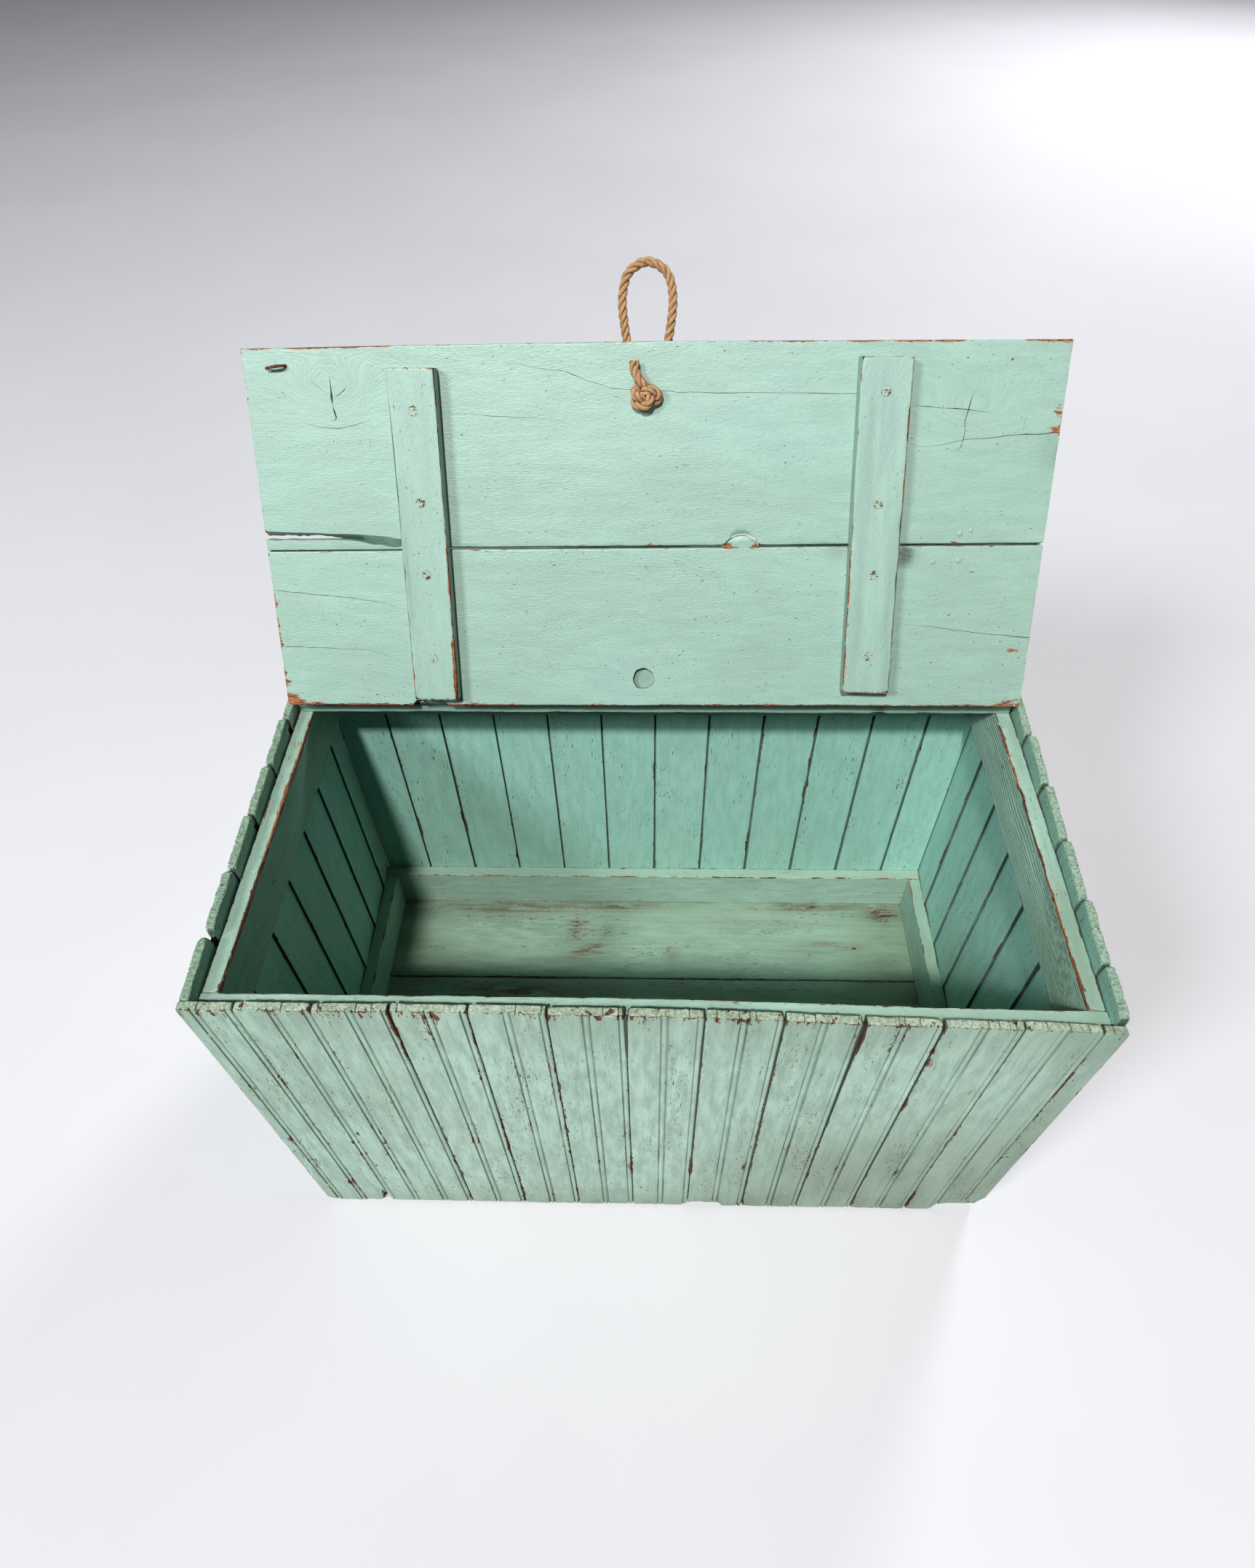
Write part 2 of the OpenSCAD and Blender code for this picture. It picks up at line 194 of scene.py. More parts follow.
def nearness(p, lo, hi, reach):
    """How near each point is to each face of the box: 1 on the face, 0 at reach."""
    near = {}
    for axis, letter in enumerate("xyz"):
        near[letter + "0"] = np.clip(1 - (p[:, axis] - lo[axis]) / reach, 0, 1)
        near[letter + "1"] = np.clip(1 - (hi[axis] - p[:, axis]) / reach, 0, 1)
    return near


def arris_wear(p, lo, hi, reach):
    """1 on any arris of the box, falling to 0 at reach from it."""
    gap = np.sort(np.minimum(np.abs(p - lo), np.abs(hi - p)), axis=1)
    return np.clip(1 - gap[:, 1] / reach, 0, 1)


def depth_inside(p, lo, hi):
    """How far each point lies below the nearest face of the box."""
    return np.min(np.minimum(p - lo, hi - p), axis=1)


# ---------------------------------------------------------------- meshes


def mesh_from(name, points, faces):
    """A mesh in metres from points in millimetres and faces with the same number of corners."""
    mesh = bpy.data.meshes.new(name)
    faces = np.asarray(faces, np.int32)
    mesh.vertices.add(len(points))
    mesh.vertices.foreach_set("co", (np.asarray(points) * MM).astype(np.float32).ravel())
    mesh.loops.add(faces.size)
    mesh.loops.foreach_set("vertex_index", faces.ravel())
    mesh.polygons.add(len(faces))
    mesh.polygons.foreach_set("loop_start", np.arange(0, faces.size, faces.shape[1]))
    mesh.update(calc_edges=True)
    mesh.validate()
    return mesh


def joined(parts):
    """Several (points, faces) as one."""
    points, faces, start = [], [], 0
    for p, f in parts:
        points.append(p)
        faces.append(np.asarray(f) + start)
        start += len(p)
    return np.concatenate(points), np.concatenate(faces)


def read_points(mesh):
    """A mesh's points in millimetres."""
    co = np.empty(len(mesh.vertices) * 3, np.float32)
    mesh.vertices.foreach_get("co", co)
    return co.reshape(-1, 3).astype(float) / MM


def write_points(mesh, points):
    """Puts points in millimetres back into a mesh."""
    mesh.vertices.foreach_set("co", (points * MM).astype(np.float32).ravel())
    mesh.update()


def cut(mesh, cutters):
    """The mesh with each cutter mesh taken out of it."""
    scene = bpy.context.scene.collection
    body = bpy.data.objects.new("cut_body", mesh)
    scene.objects.link(body)
    tools = []
    for cutter in cutters:
        tool = bpy.data.objects.new("cut_tool", cutter)
        scene.objects.link(tool)
        tools.append(tool)
        step = body.modifiers.new("cut", "BOOLEAN")
        step.operation = "DIFFERENCE"
        step.solver = "EXACT"
        step.object = tool
    bpy.context.view_layer.update()
    graph = bpy.context.evaluated_depsgraph_get()
    made = bpy.data.meshes.new_from_object(body.evaluated_get(graph))
    for o in [body, *tools]:
        old = o.data
        bpy.data.objects.remove(o)
        bpy.data.meshes.remove(old)
    return made


def set_values(mesh, values):
    """Stores each named row of numbers or vectors on the mesh's points, for its material."""
    for name, row in values.items():
        vector = np.ndim(row) == 2
        kind, key = ("FLOAT_VECTOR", "vector") if vector else ("FLOAT", "value")
        attribute = mesh.attributes.new(name, kind, "POINT")
        attribute.data.foreach_set(key, np.asarray(row, np.float32).ravel())


def show(name, mesh, material, body, nodes=(), sharp=32):
    """Puts a finished mesh in the scene as a piece that rides on a body."""
    mesh.shade_smooth()
    mesh.set_sharp_from_angle(angle=math.radians(sharp))
    mesh.materials.clear()
    mesh.materials.append(material)
    piece = bpy.data.objects.new(name, mesh)
    bpy.context.scene.collection.objects.link(piece)
    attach(piece, body)
    if nodes:
        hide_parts(*nodes)
    return piece


# ---------------------------------------------------------------- node trees


def linear(r, g, b):
    """A linear colour from screen values, 0 to 255."""
    def one(c):
        c /= 255
        return c / 12.92 if c <= 0.04045 else ((c + 0.055) / 1.055) ** 2.4
    return (one(r), one(g), one(b), 1.0)


class Nodes:
    """A material's node tree, built by short calls that each return a socket."""

    def __init__(self, name):
        self.material = bpy.data.materials.new(name)
        self.material.use_nodes = True
        self.tree = self.material.node_tree
        self.shader = self.tree.nodes["Principled BSDF"]

    def add(self, kind, inputs=(), out=0, **settings):
        node = self.tree.nodes.new("ShaderNode" + kind)
        for key, value in settings.items():
            setattr(node, key, value)
        for key, value in dict(inputs).items():
            self.put(node.inputs[key], value)
        return node.outputs[out]

    def put(self, socket, value):
        if isinstance(value, bpy.types.NodeSocket):
            self.tree.links.new(value, socket)
        else:
            socket.default_value = value

    def value(self, name):
        return self.add("Attribute", out="Fac", attribute_name=name)

    def vector(self, name):
        return self.add("Attribute", out="Vector", attribute_name=name)

    def math(self, operation, a, b=0.0, clamp=False):
        return self.add("Math", {0: a, 1: b}, operation=operation, use_clamp=clamp)

    def times(self, a, b):
        return self.math("MULTIPLY", a, b)

    def plus(self, a, b):
        return self.math("ADD", a, b)

    def stretch(self, vector, scale):
        return self.add("VectorMath", {0: vector, 1: scale}, operation="MULTIPLY")

    def noise(self, vector, scale, detail=2.0, rough=0.5, warp=0.0):
        """Noise with scale features a metre along each axis of the vector."""
        inputs = {"Vector": self.stretch(vector, scale), "Scale": 1.0, "Detail": detail}
        inputs.update({"Roughness": rough, "Distortion": warp})
        return self.add("TexNoise", inputs)

    def step(self, value, low, high):
        """0 below low and 1 above high, smooth between; low and high may be sockets."""
        inputs = {"Value": value, "From Min": low, "From Max": high}
        return self.add("MapRange", inputs, interpolation_type="SMOOTHSTEP")

    def mix(self, share, a, b, blend="MIX"):
        node = self.tree.nodes.new("ShaderNodeMix")
        node.data_type = "RGBA"
        node.blend_type = blend
        self.put(node.inputs[0], share)
        self.put(node.inputs[6], a)
        self.put(node.inputs[7], b)
        return node.outputs[2]

    def tint(self, share, a, b):
        """a multiplied by the colour b, by a share."""
        return self.mix(share, a, (*b, 1.0), "MULTIPLY")

    def sum(self, *terms):
        total = terms[0]
        for term in terms[1:]:
            total = self.plus(total, term)
        return total

    def finish(self, colour, rough, height=None, bump_mm=1.0, **fixed):
        """Feeds the shader; the height is in units of bump_mm millimetres."""
        self.put(self.shader.inputs["Base Color"], colour)
        self.put(self.shader.inputs["Roughness"], rough)
        for key, value in fixed.items():
            self.shader.inputs[key.replace("_", " ")].default_value = value
        if height is not None:
            inputs = {"Height": height, "Distance": bump_mm * MM, "Strength": 1.0}
            self.put(self.shader.inputs["Normal"], self.add("Bump", inputs))
        return self.material


WOOD_DARK = linear(74, 46, 33)
WOOD_BROWN = linear(122, 80, 58)
WOOD_ORANGE = linear(158, 104, 74)
PRIMER = linear(186, 190, 164)
MAROON = linear(104, 62, 58)
DIRT = linear(34, 30, 24)
JOINT_BROWN = linear(50, 40, 31)
JOINT_DARK = linear(33, 25, 20)
CRACK = linear(22, 20, 16)
END_PALE = linear(188, 202, 182)
END_SHADE = linear(140, 154, 134)
SIDE_END_PALE = linear(158, 182, 160)
SIDE_END_SHADE = linear(112, 136, 118)
DULL_BROWN = linear(118, 100, 84)
DULL_TAN = linear(146, 132, 110)


def ring_lines(n, wood, spacing_mm):
    """Curved growth-ring lines along the grain, from 0 to 1, bunched and spread at random."""
    across = n.add("SeparateXYZ", {0: wood}, out=1)
    wide = n.noise(wood, (2.2, 5.0, 5.0), detail=2.0)
    small = n.noise(wood, (14.0, 45.0, 45.0), detail=4.0, rough=0.6)
    turns = n.plus(n.times(across, 1000 / spacing_mm), n.times(wide, 34.0))
    turns = n.plus(turns, n.times(small, 5.0))
    wave = n.math("SINE", n.times(turns, 2 * math.pi))
    return n.step(wave, -0.7, 1.0)


def faded(colour, share):
    """The colour made darker or lighter by a share."""
    return tuple(c * share for c in colour[:3]) + (1.0,)


def saw_lines(n, wood):
    """Slanting marks of a big saw across the boards, from 0 to 1."""
    along = n.add("SeparateXYZ", {0: wood}, out=0)
    across = n.add("SeparateXYZ", {0: wood}, out=1)
    drift = n.noise(wood, (9.0, 12.0, 12.0), detail=3.0)
    turns = n.plus(n.times(along, 120.0), n.times(across, 260.0))
    turns = n.plus(turns, n.times(drift, 3.0))
    return n.step(n.math("SINE", n.times(turns, 2 * math.pi)), -0.4, 1.0)


class PaintNodes(Nodes):
    """The start of a paint's node tree: what the mesh says of its wood, and noise along it."""

    def __init__(self, name, ring_mm):
        super().__init__(name)
        wood = self.wood = self.vector("wood")
        self.bare, self.groove, self.grime_and_shade = map(self.value, ("bare", "groove", "grime_and_shade"))
        self.end, self.tone = self.value("end"), self.value("tone")
        self.broad = self.noise(wood, (2.0, 6.0, 6.0), detail=3.0)
        self.cluster = self.noise(wood, (7.0, 26.0, 26.0), detail=2.0)
        self.mottle = self.noise(wood, (18.0, 80.0, 80.0), detail=6.0, rough=0.65)
        self.streak = self.noise(wood, (5.0, 190.0, 190.0), detail=4.0, rough=0.6)
        self.pores = self.noise(wood, (130.0, 760.0, 760.0), detail=3.0)
        self.fine = self.noise(wood, (120.0, 380.0, 380.0), detail=5.0, rough=0.7)
        self.pebble = self.noise(wood, (260.0, 260.0, 260.0), detail=5.0, rough=0.72)
        self.rings = ring_lines(self, wood, ring_mm)
        self.crowd = self.step(self.cluster, 0.40, 0.68)


def sound_paint(n, colour, fade, brush, lines, stain, stain_colour):
    """The coat where it is whole: brushed, weathered and, on the floor, stained."""
    body = n.mix(n.step(n.mottle, 0.32, 0.68), faded(colour, 1 - fade), faded(colour, 1 + 0.6 * fade))
    body = n.tint(n.times(n.step(n.broad, 0.35, 0.65), 0.5), body, (1.0, 0.975, 0.94))
    brushed = n.times(n.step(n.streak, 0.50, 0.72), 2.2 * fade * brush)
    body = n.tint(brushed, body, (0.72, 0.78, 0.74))
    body = n.tint(n.step(n.tone, 0.0, 1.0), body, (0.93, 0.95, 0.945))
    body = n.tint(n.times(n.step(n.pores, 0.60, 0.72), 0.30), body, (0.5, 0.55, 0.5))
    speckle = n.times(n.step(n.fine, 0.50, 0.66), 0.9 * fade + 0.06)
    body = n.tint(speckle, body, (0.70, 0.74, 0.70))
    if lines:
        shown = n.times(n.step(n.rings, 0.75, 0.15), n.step(n.broad, 0.38, 0.62))
        body = n.tint(n.times(shown, lines), body, (0.60, 0.68, 0.64))
    if stain:
        wet = n.step(n.plus(n.times(n.streak, 0.5), n.mottle), 0.62, 0.86)
        body = n.mix(n.times(n.times(wet, n.bare), stain), body, stain_colour)
    return body


def chipping(n, chips):
    """How far the paint is gone, in flakes and in specks: its edge, then the bare wood."""
    flake = n.noise(n.wood, (34.0, 130.0, 130.0), detail=6.0, rough=0.62, warp=0.3)
    speck = n.noise(n.wood, (110.0, 420.0, 420.0), detail=4.0, rough=0.6)
    ready = n.plus(n.times(n.bare, 0.36), n.times(n.crowd, 0.055 * chips))
    flakes = n.plus(flake, ready)
    specks = n.sum(speck, n.times(ready, 0.62), n.times(n.crowd, 0.035 * chips))
    edge = n.math("MAXIMUM", n.step(flakes, 0.705, 0.725), n.step(specks, 0.715, 0.735))
    wood = n.math("MAXIMUM", n.step(flakes, 0.725, 0.745), n.step(specks, 0.725, 0.75))
    return edge, wood


def bare_wood(n, woods):
    """Old wood in three browns, with dark pores."""
    brown = n.mix(n.step(n.streak, 0.38, 0.62), woods[0], woods[1])
    brown = n.mix(n.step(n.cluster, 0.50, 0.60), brown, woods[2])
    return n.mix(n.step(n.pores, 0.50, 0.60), brown, WOOD_DARK)


def end_grain(n, ends, brown):
    """Paler, pebbly paint on end grain, knocked to the wood in places."""
    knocks = n.noise(n.wood, (90.0, 90.0, 90.0), detail=4.0, rough=0.6)
    pale = n.mix(n.step(n.pebble, 0.34, 0.62), *ends)
    knocked = n.step(n.plus(knocks, n.times(n.bare, 0.08)), 0.645, 0.68)
    return n.mix(knocked, pale, brown)


def paint_height(n, grain, brush, saw, wave, pebbles, edge, breaks):
    """The painted surface's height in millimetres."""
    terms = [n.times(n.times(n.rings, n.step(n.broad, 0.30, 0.62)), grain),
             n.times(n.streak, 0.55 * brush)]
    if saw:
        sawn = n.times(saw_lines(n, n.wood), n.step(n.broad, 0.35, 0.6))
        terms.append(n.times(sawn, saw))
    bumps = n.noise(n.wood, (160.0, 330.0, 330.0), detail=3.0)
    terms += [n.times(n.mottle, wave), n.times(bumps, pebbles), n.times(n.pores, 0.12),
              n.times(n.times(n.pebble, n.end), 2.2), n.times(edge, -0.20), n.times(breaks, -0.45)]
    return n.sum(*terms)


def paint(name, colour, woods, chips=0.0, grain=0.16, dashes=0.5, dirt=1.0, fade=0.10,
          ring_mm=3.6, brush=1.0, saw=0.0, wave=0.55, pebbles=0.34, mark=(60.0, 560.0, 560.0),
          stain=0.0, soil=DIRT, lines=0.0, ends=(END_SHADE, END_PALE)):
    """Old oil paint on boards, with chips to the wood and dirt in the joints.

    chips and dashes are how readily the paint flakes and breaks, fade how much its tone wanders;
    grain, brush, saw, wave and pebbles are heights in millimetres; lines shows the growth rings,
    stain the water marks, and mark is how fine the breaks are.
    """
    n = PaintNodes(name, ring_mm)
    look = sound_paint(n, colour, fade, brush, lines, stain, woods[0])
    edge, wood = chipping(n, chips)
    brown = bare_wood(n, woods)
    look = n.mix(n.times(edge, 0.7), look, PRIMER)
    look = n.mix(wood, look, brown)
    # short dark breaks in the paint along the grain, in clusters
    cut_at = n.plus(0.75, n.times(n.crowd, -0.09 * dashes))
    breaks = n.step(n.noise(n.wood, mark, detail=2.0), cut_at, n.plus(cut_at, 0.02))
    look = n.mix(n.times(breaks, 0.85), look, CRACK)
    look = n.mix(n.end, look, end_grain(n, ends, brown))
    # The tint below darkens the paint: real dirt, and painted shade on the front wall's lower right, the
    # rails' right front corner and the floor's front part.
    smear_and_shade = n.times(n.grime_and_shade, n.step(n.plus(n.mottle, n.times(n.cluster, 0.5)), 0.35, 0.95))
    look = n.tint(n.math("MULTIPLY", smear_and_shade, dirt, True), look, (0.52, 0.50, 0.42))
    caked = n.math("MULTIPLY", n.groove, n.step(n.mottle, 0.12, 0.5), True)
    look = n.mix(caked, look, soil)
    worn = n.math("MAXIMUM", wood, caked)
    gloss = n.add("MapRange", {"Value": worn, "To Min": 0.46, "To Max": 0.88})
    height = paint_height(n, grain, brush, saw, wave, pebbles, edge, breaks)
    return n.finish(look, gloss, height)


MINT = linear(148, 174, 163)
RAIL_MINT = linear(155, 181, 167)
WALL_GREEN = linear(156, 181, 167)
INNER_GREEN = linear(158, 199, 187)
PLANK_GREEN = linear(158, 182, 166)


def iron(name, colour, rust, rust_from, gloss=0.5, metallic=0.0, patch_size=90.0):
    """Painted or rusty ironwork: a coat with rust and dirt breaking through it."""
    n = Nodes(name)
    at = n.add("TexCoord", out="Object")
    patch = n.noise(at, (patch_size,) * 3, detail=6.0, rough=0.65)
    grit = n.noise(at, (700.0, 700.0, 700.0), detail=3.0)
    rusty = n.step(n.plus(patch, n.times(grit, 0.25)), rust_from, rust_from + 0.06)
    coat = n.mix(n.step(grit, 0.35, 0.65), colour, faded(colour, 0.84))
    brown = n.mix(n.step(grit, 0.4, 0.6), rust, faded(rust, 0.55))
    look = n.mix(rusty, coat, brown)
    rough = n.add("MapRange", {"Value": rusty, "To Min": gloss, "To Max": 0.85})
    height = n.plus(n.times(grit, 0.25), n.times(rusty, -0.15))
    return n.finish(look, rough, height, bump_mm=0.5, Metallic=metallic)


def rope_material():
    """Twisted manila: pale fibres over a darker brown core, darkest in the grooves between the strands."""
    n = Nodes("rope_fibre")
    lay = n.vector("wood")
    fibre = n.noise(lay, (60.0, 2600.0, 2600.0), detail=4.0, rough=0.6)
    blotch = n.noise(lay, (45.0, 120.0, 120.0), detail=3.0)
    groove = n.value("groove")
    pale, mid, dark = linear(236, 208, 168), linear(206, 168, 126), linear(138, 100, 70)
    look = n.mix(n.step(fibre, 0.36, 0.66), dark, mid)
    look = n.mix(n.step(fibre, 0.52, 0.74), look, pale)
    look = n.mix(n.times(n.step(blotch, 0.45, 0.75), 0.5), look, linear(150, 84, 52))
    look = n.mix(groove, look, linear(58, 36, 24))
    return n.finish(look, 0.8, n.times(fibre, 0.9), bump_mm=0.7)


def floor_material():
    """A plain pale studio floor, faintly clouded."""
    n = Nodes("studio_floor")
    at = n.add("TexCoord", out="Object")
    cloud = n.noise(at, (1.2, 1.2, 1.2), detail=4.0)
    look = n.mix(n.step(cloud, 0.3, 0.7), linear(198, 195, 198), linear(201, 198, 201))
    return n.finish(look, 0.8)


# ---------------------------------------------------------------- rope

JOINT = next(j for j in frame["joints"] if j["name"] == "lid_hinge")
PIVOT = np.array(JOINT["pos_m"]) / MM
LID_TURN = -math.radians(JOINT["range_deg"][1])
LID_T = 21.0
PIN_RISE = 1.6
JOINT_HALF = 1.2
LID_TOP = PIVOT[2] - PIN_RISE
LID_BACK = PIVOT[1] - JOINT_HALF

ROPE_D = 12.0
ROPE_LAY = 33.0
ROPE_MID_X = (-9.0, -6.5)
ROPE_HALF = [
    (6.2, 411, -25), (6.2, 411, -12), (6.6, 411.5, 0), (8.4, 416, 12), (12, 428, 20),
    (18.5, 446, 23), (25, 468, 22), (30.5, 500, 19), (32, 528, 17), (24, 554, 15), (0, 566, 14),
]


def on_lid(p):
    """World places of lid places: across, distance from the hinge edge, depth below the inner face.

    The inner face is the one that looks out over the open chest, at depth 0.
    """
    p = np.asarray(p, float)
    closed = np.stack([p[:, 0], LID_BACK - p[:, 1], LID_TOP - LID_T + p[:, 2]], -1)
    return turned(closed)


def turned(closed):
    """Turns places from the closed lid to the open one."""
    y, z = closed[:, 1] - PIVOT[1], closed[:, 2] - PIVOT[2]
    c, s = math.cos(LID_TURN), math.sin(LID_TURN)
    return np.stack([closed[:, 0], PIVOT[1] + c * y - s * z, PIVOT[2] + s * y + c * z], -1)


def spline(points, t):
    """A smooth curve through the points, at t from 0 to the last point's number."""
    p = np.asarray(points, float)
    last = len(p) - 1
    i = np.minimum(np.floor(t).astype(int), last - 1)
    u = (t - i)[:, None]
    a, b, c, d = p[np.maximum(i - 1, 0)], p[i], p[i + 1], p[np.minimum(i + 2, last)]
    return 0.5 * (2 * b + (c - a) * u + (2 * a - 5 * b + 4 * c - d) * u**2
                  + (3 * b - a - 3 * c + d) * u**3)


def even(points, step):
    """The same line with points an even step apart."""
    gaps = np.linalg.norm(np.diff(points, axis=0), axis=1)
    along = np.concatenate([[0], np.cumsum(gaps)])
    n = max(2, int(round(along[-1] / step)) + 1)
    at = np.linspace(0, along[-1], n)
    return np.stack([np.interp(at, along, points[:, k]) for k in range(3)], -1), at


def frames(line):
    """Two directions square to the line at each of its points, turning as little as possible."""
    along = np.gradient(line, axis=0)
    along /= np.linalg.norm(along, axis=1, keepdims=True)
    side = np.cross(along[0], [0.3, 0.2, 0.93])
    sides = []
    for direction in along:
        side = side - direction * (side @ direction)
        side /= np.linalg.norm(side)
        sides.append(side)
    sides = np.array(sides)
    return along, sides, np.cross(along, sides)


def tube(line, radius, sides):
    """A closed tube along the line, its radius given for each point."""
    _, a, b = frames(line)
    turn = np.linspace(0, 2 * math.pi, sides, endpoint=False)
    ring = np.cos(turn)[None, :, None] * a[:, None] + np.sin(turn)[None, :, None] * b[:, None]
    points = line[:, None] + ring * np.asarray(radius, float)[:, None, None]
    n = len(line)
    k, j = np.meshgrid(np.arange(n - 1), np.arange(sides), indexing="ij")
    nxt = (j + 1) % sides
    quads = np.stack([k * sides + j, k * sides + nxt, (k + 1) * sides + nxt, (k + 1) * sides + j], -1)
    points = np.concatenate([points.reshape(-1, 3), line[:1], line[-1:]])
    first, last = n * sides, n * sides + 1
    caps = []
    for s in range(0, sides, 2):
        m, e = (s + 1) % sides, (s + 2) % sides
        caps.append([first, e, m, s])
        base = (n - 1) * sides
        caps.append([last, base + s, base + m, base + e])
    return points, np.concatenate([quads.reshape(-1, 4), np.array(caps)])


def laid_rope(line, at, seed=0, fray=None):
    """Three strands laid round the line; returns points, faces and the material's values."""
    _, a, b = frames(line)
    strand_r = ROPE_D / 2 / 2.12
    parts, lays, grooves = [], [], []
    for k in range(3):
        turn = 2 * math.pi * (at / ROPE_LAY + k / 3) + 0.35 * np.sin(at / 23.0 + seed)
        off = strand_r * 1.13 * (np.ones(len(at)) if fray is None else fray)
        centre = line + off[:, None] * (np.cos(turn)[:, None] * a + np.sin(turn)[:, None] * b)
        wob = 1 + 0.06 * np.sin(at / 5.1 + 2.1 * k + seed) + 0.04 * np.sin(at / 2.3 + k)
        points, faces = tube(centre, strand_r * wob, sides=12)
        n = len(line)
        ring = np.repeat(np.arange(n), 12)
        spin = np.tile(np.arange(12), n) / 12 * 2 * math.pi
        radial = points[: n * 12] - line[ring]
        out = np.linalg.norm(radial, axis=1)
        deep = smooth(-out, -strand_r * 1.35, -strand_r * 0.75)
        twist = at[ring] * 2 * math.pi / 14
        lay = np.stack([at[ring] + 900 * k, strand_r * (spin + twist), out], -1)
        parts.append((points, faces))
        lays.append(np.concatenate([lay, lay[:1], lay[-1:]]))
        grooves.append(np.concatenate([deep, [0.6, 0.6]]))
    points, faces = joined(parts)
    return points, faces, np.concatenate(lays) * MM, np.concatenate(grooves)


def handle_route():
    """The handle's centre line, from inside the knot over the loop and back."""
    def leg(point, side):
        aside, v, up = point
        middle = ROPE_MID_X[0] + (ROPE_MID_X[1] - ROPE_MID_X[0]) * min(1, (v - 411) / 60)
        return [middle + side * aside, v, LID_T + up]
    route = [leg(p, -1) for p in ROPE_HALF] + [leg(p, 1) for p in reversed(ROPE_HALF[:-1])]
    fine = spline(route, np.linspace(0, len(route) - 1, 400))
    return on_lid(fine)


def knot_route():
    """The stopper knot's centre line: [across, distance from the hinge edge, depth]."""
    def lobe(t):
        reach = 2 + math.cos(3 * t)
        turn = 2 * t
        return [-9 + 5.7 * reach * math.cos(turn), 409 + 4.1 * reach * math.sin(turn),
                -9.2 - 5.2 * math.sin(3 * t)]
    start, end = 4 * math.pi / 3 + 0.18, 2 * math.pi + 7 * math.pi / 6 - 0.12
    loop = [lobe(t) for t in np.linspace(start, end, 26)]
    root = [[-9, 411, 4], [-12, 413, -1]]
    tail = [[-13, 424, -12], [-19, 433, -10.5], [-22.5, 441, -9], [-23, 449, -9]]
    route = root + loop + tail
    fine = spline(route, np.linspace(0, len(route) - 1, 500))
    return on_lid(fine)


def make_rope():
    """The rope handle's loop and its knot; the cord's line is also worked out, and not used."""
    material = rope_material()
    line, at = even(handle_route(), 1.6)
    points, faces, lay, groove = laid_rope(line, at, seed=1)
    mesh = mesh_from("rope_handle_laid", points, faces)
    set_values(mesh, {"wood": lay, "groove": groove})
    handle = show("rope_handle_laid", mesh, material, "lid", ["rope_handle"], sharp=80)

    line, at = even(knot_route(), 1.3)
    fray = 1 + 0.35 * smooth(at, at[-1] - 10, at[-1])
    points, faces, lay, groove = laid_rope(line, at, seed=5, fray=fray)
    mesh = mesh_from("rope_knot_laid", points, faces)
    set_values(mesh, {"wood": lay, "groove": groove})
    knot = show("rope_knot_laid", mesh, material, "lid", ["rope_knot"], sharp=80)

    path, along = even(handle_route(), 6)


# ---------------------------------------------------------------- timber values


def timber_values(p, lo, hi, grain, seed, bare=0.0, grime_and_shade=0.0, end_reach=1.2, wear_reach=3.5,
                  groove_from=0.35, groove_to=1.6, wear=0.55, tone=None):
    """What the paint needs to know at each point of a piece of timber.

    grain is the axis that the wood runs along; bare and the dirt value after it, which also carries
    painted shade in places, are added to what the arrises get.
    """
    order = [grain] + [k for k in range(3) if k != grain]
    spot = (p - lo)[:, order] + np.array([seed * 217.0, seed * 91.0, seed * 53.0])
    ends = np.minimum(np.abs(p[:, grain] - lo[grain]), np.abs(hi[grain] - p[:, grain]))
    sides = [k for k in range(3) if k != grain]
    inset = np.min([np.minimum(p[:, k] - lo[k], hi[k] - p[:, k]) for k in sides], axis=0)
    end = np.clip(1 - ends / end_reach, 0, 1) * smooth(inset, -0.2, 0.6)
    depth = depth_inside(p, lo, hi)
    return {
        "wood": spot * MM,
        "bare": np.clip(arris_wear(p, lo, hi, wear_reach) * wear + bare, 0, 1),
        "groove": smooth(depth, groove_from, groove_to) * (1 - 0.7 * end),
        "grime_and_shade": np.clip(np.zeros(len(p)) + grime_and_shade, 0, 1),
        "end": end,
        "tone": np.full(len(p), chance(seed + 5) if tone is None else tone),
    }


def spots(p, marks):
    """Soft round marks: each is (x, y, z, half sizes, strength)."""
    total = np.zeros(len(p))
    for centre, reach, strength in marks:
        d = (p - np.array(centre, float)) / np.array(reach, float)
        total += strength * np.exp(-np.sum(d * d, axis=1))
    return total


# ---------------------------------------------------------------- wall boards

BOARD_T = 11.0
TONGUE = 6.0
WALL_H = 671.0
COVER = 88.7
HALF_W, HALF_D = 533.5, 305.0
BOARD_DEPTHS = np.array([0, 0.9, 2.2, 4.0, 5.5, 7.2, 8.8, 10.2, BOARD_T])
BEAD_STOPS = (-5.1, -4.6, -3.5, -2.8, -1.6, 0, 1.6, 2.8, 3.5, 4.6, 5.1)

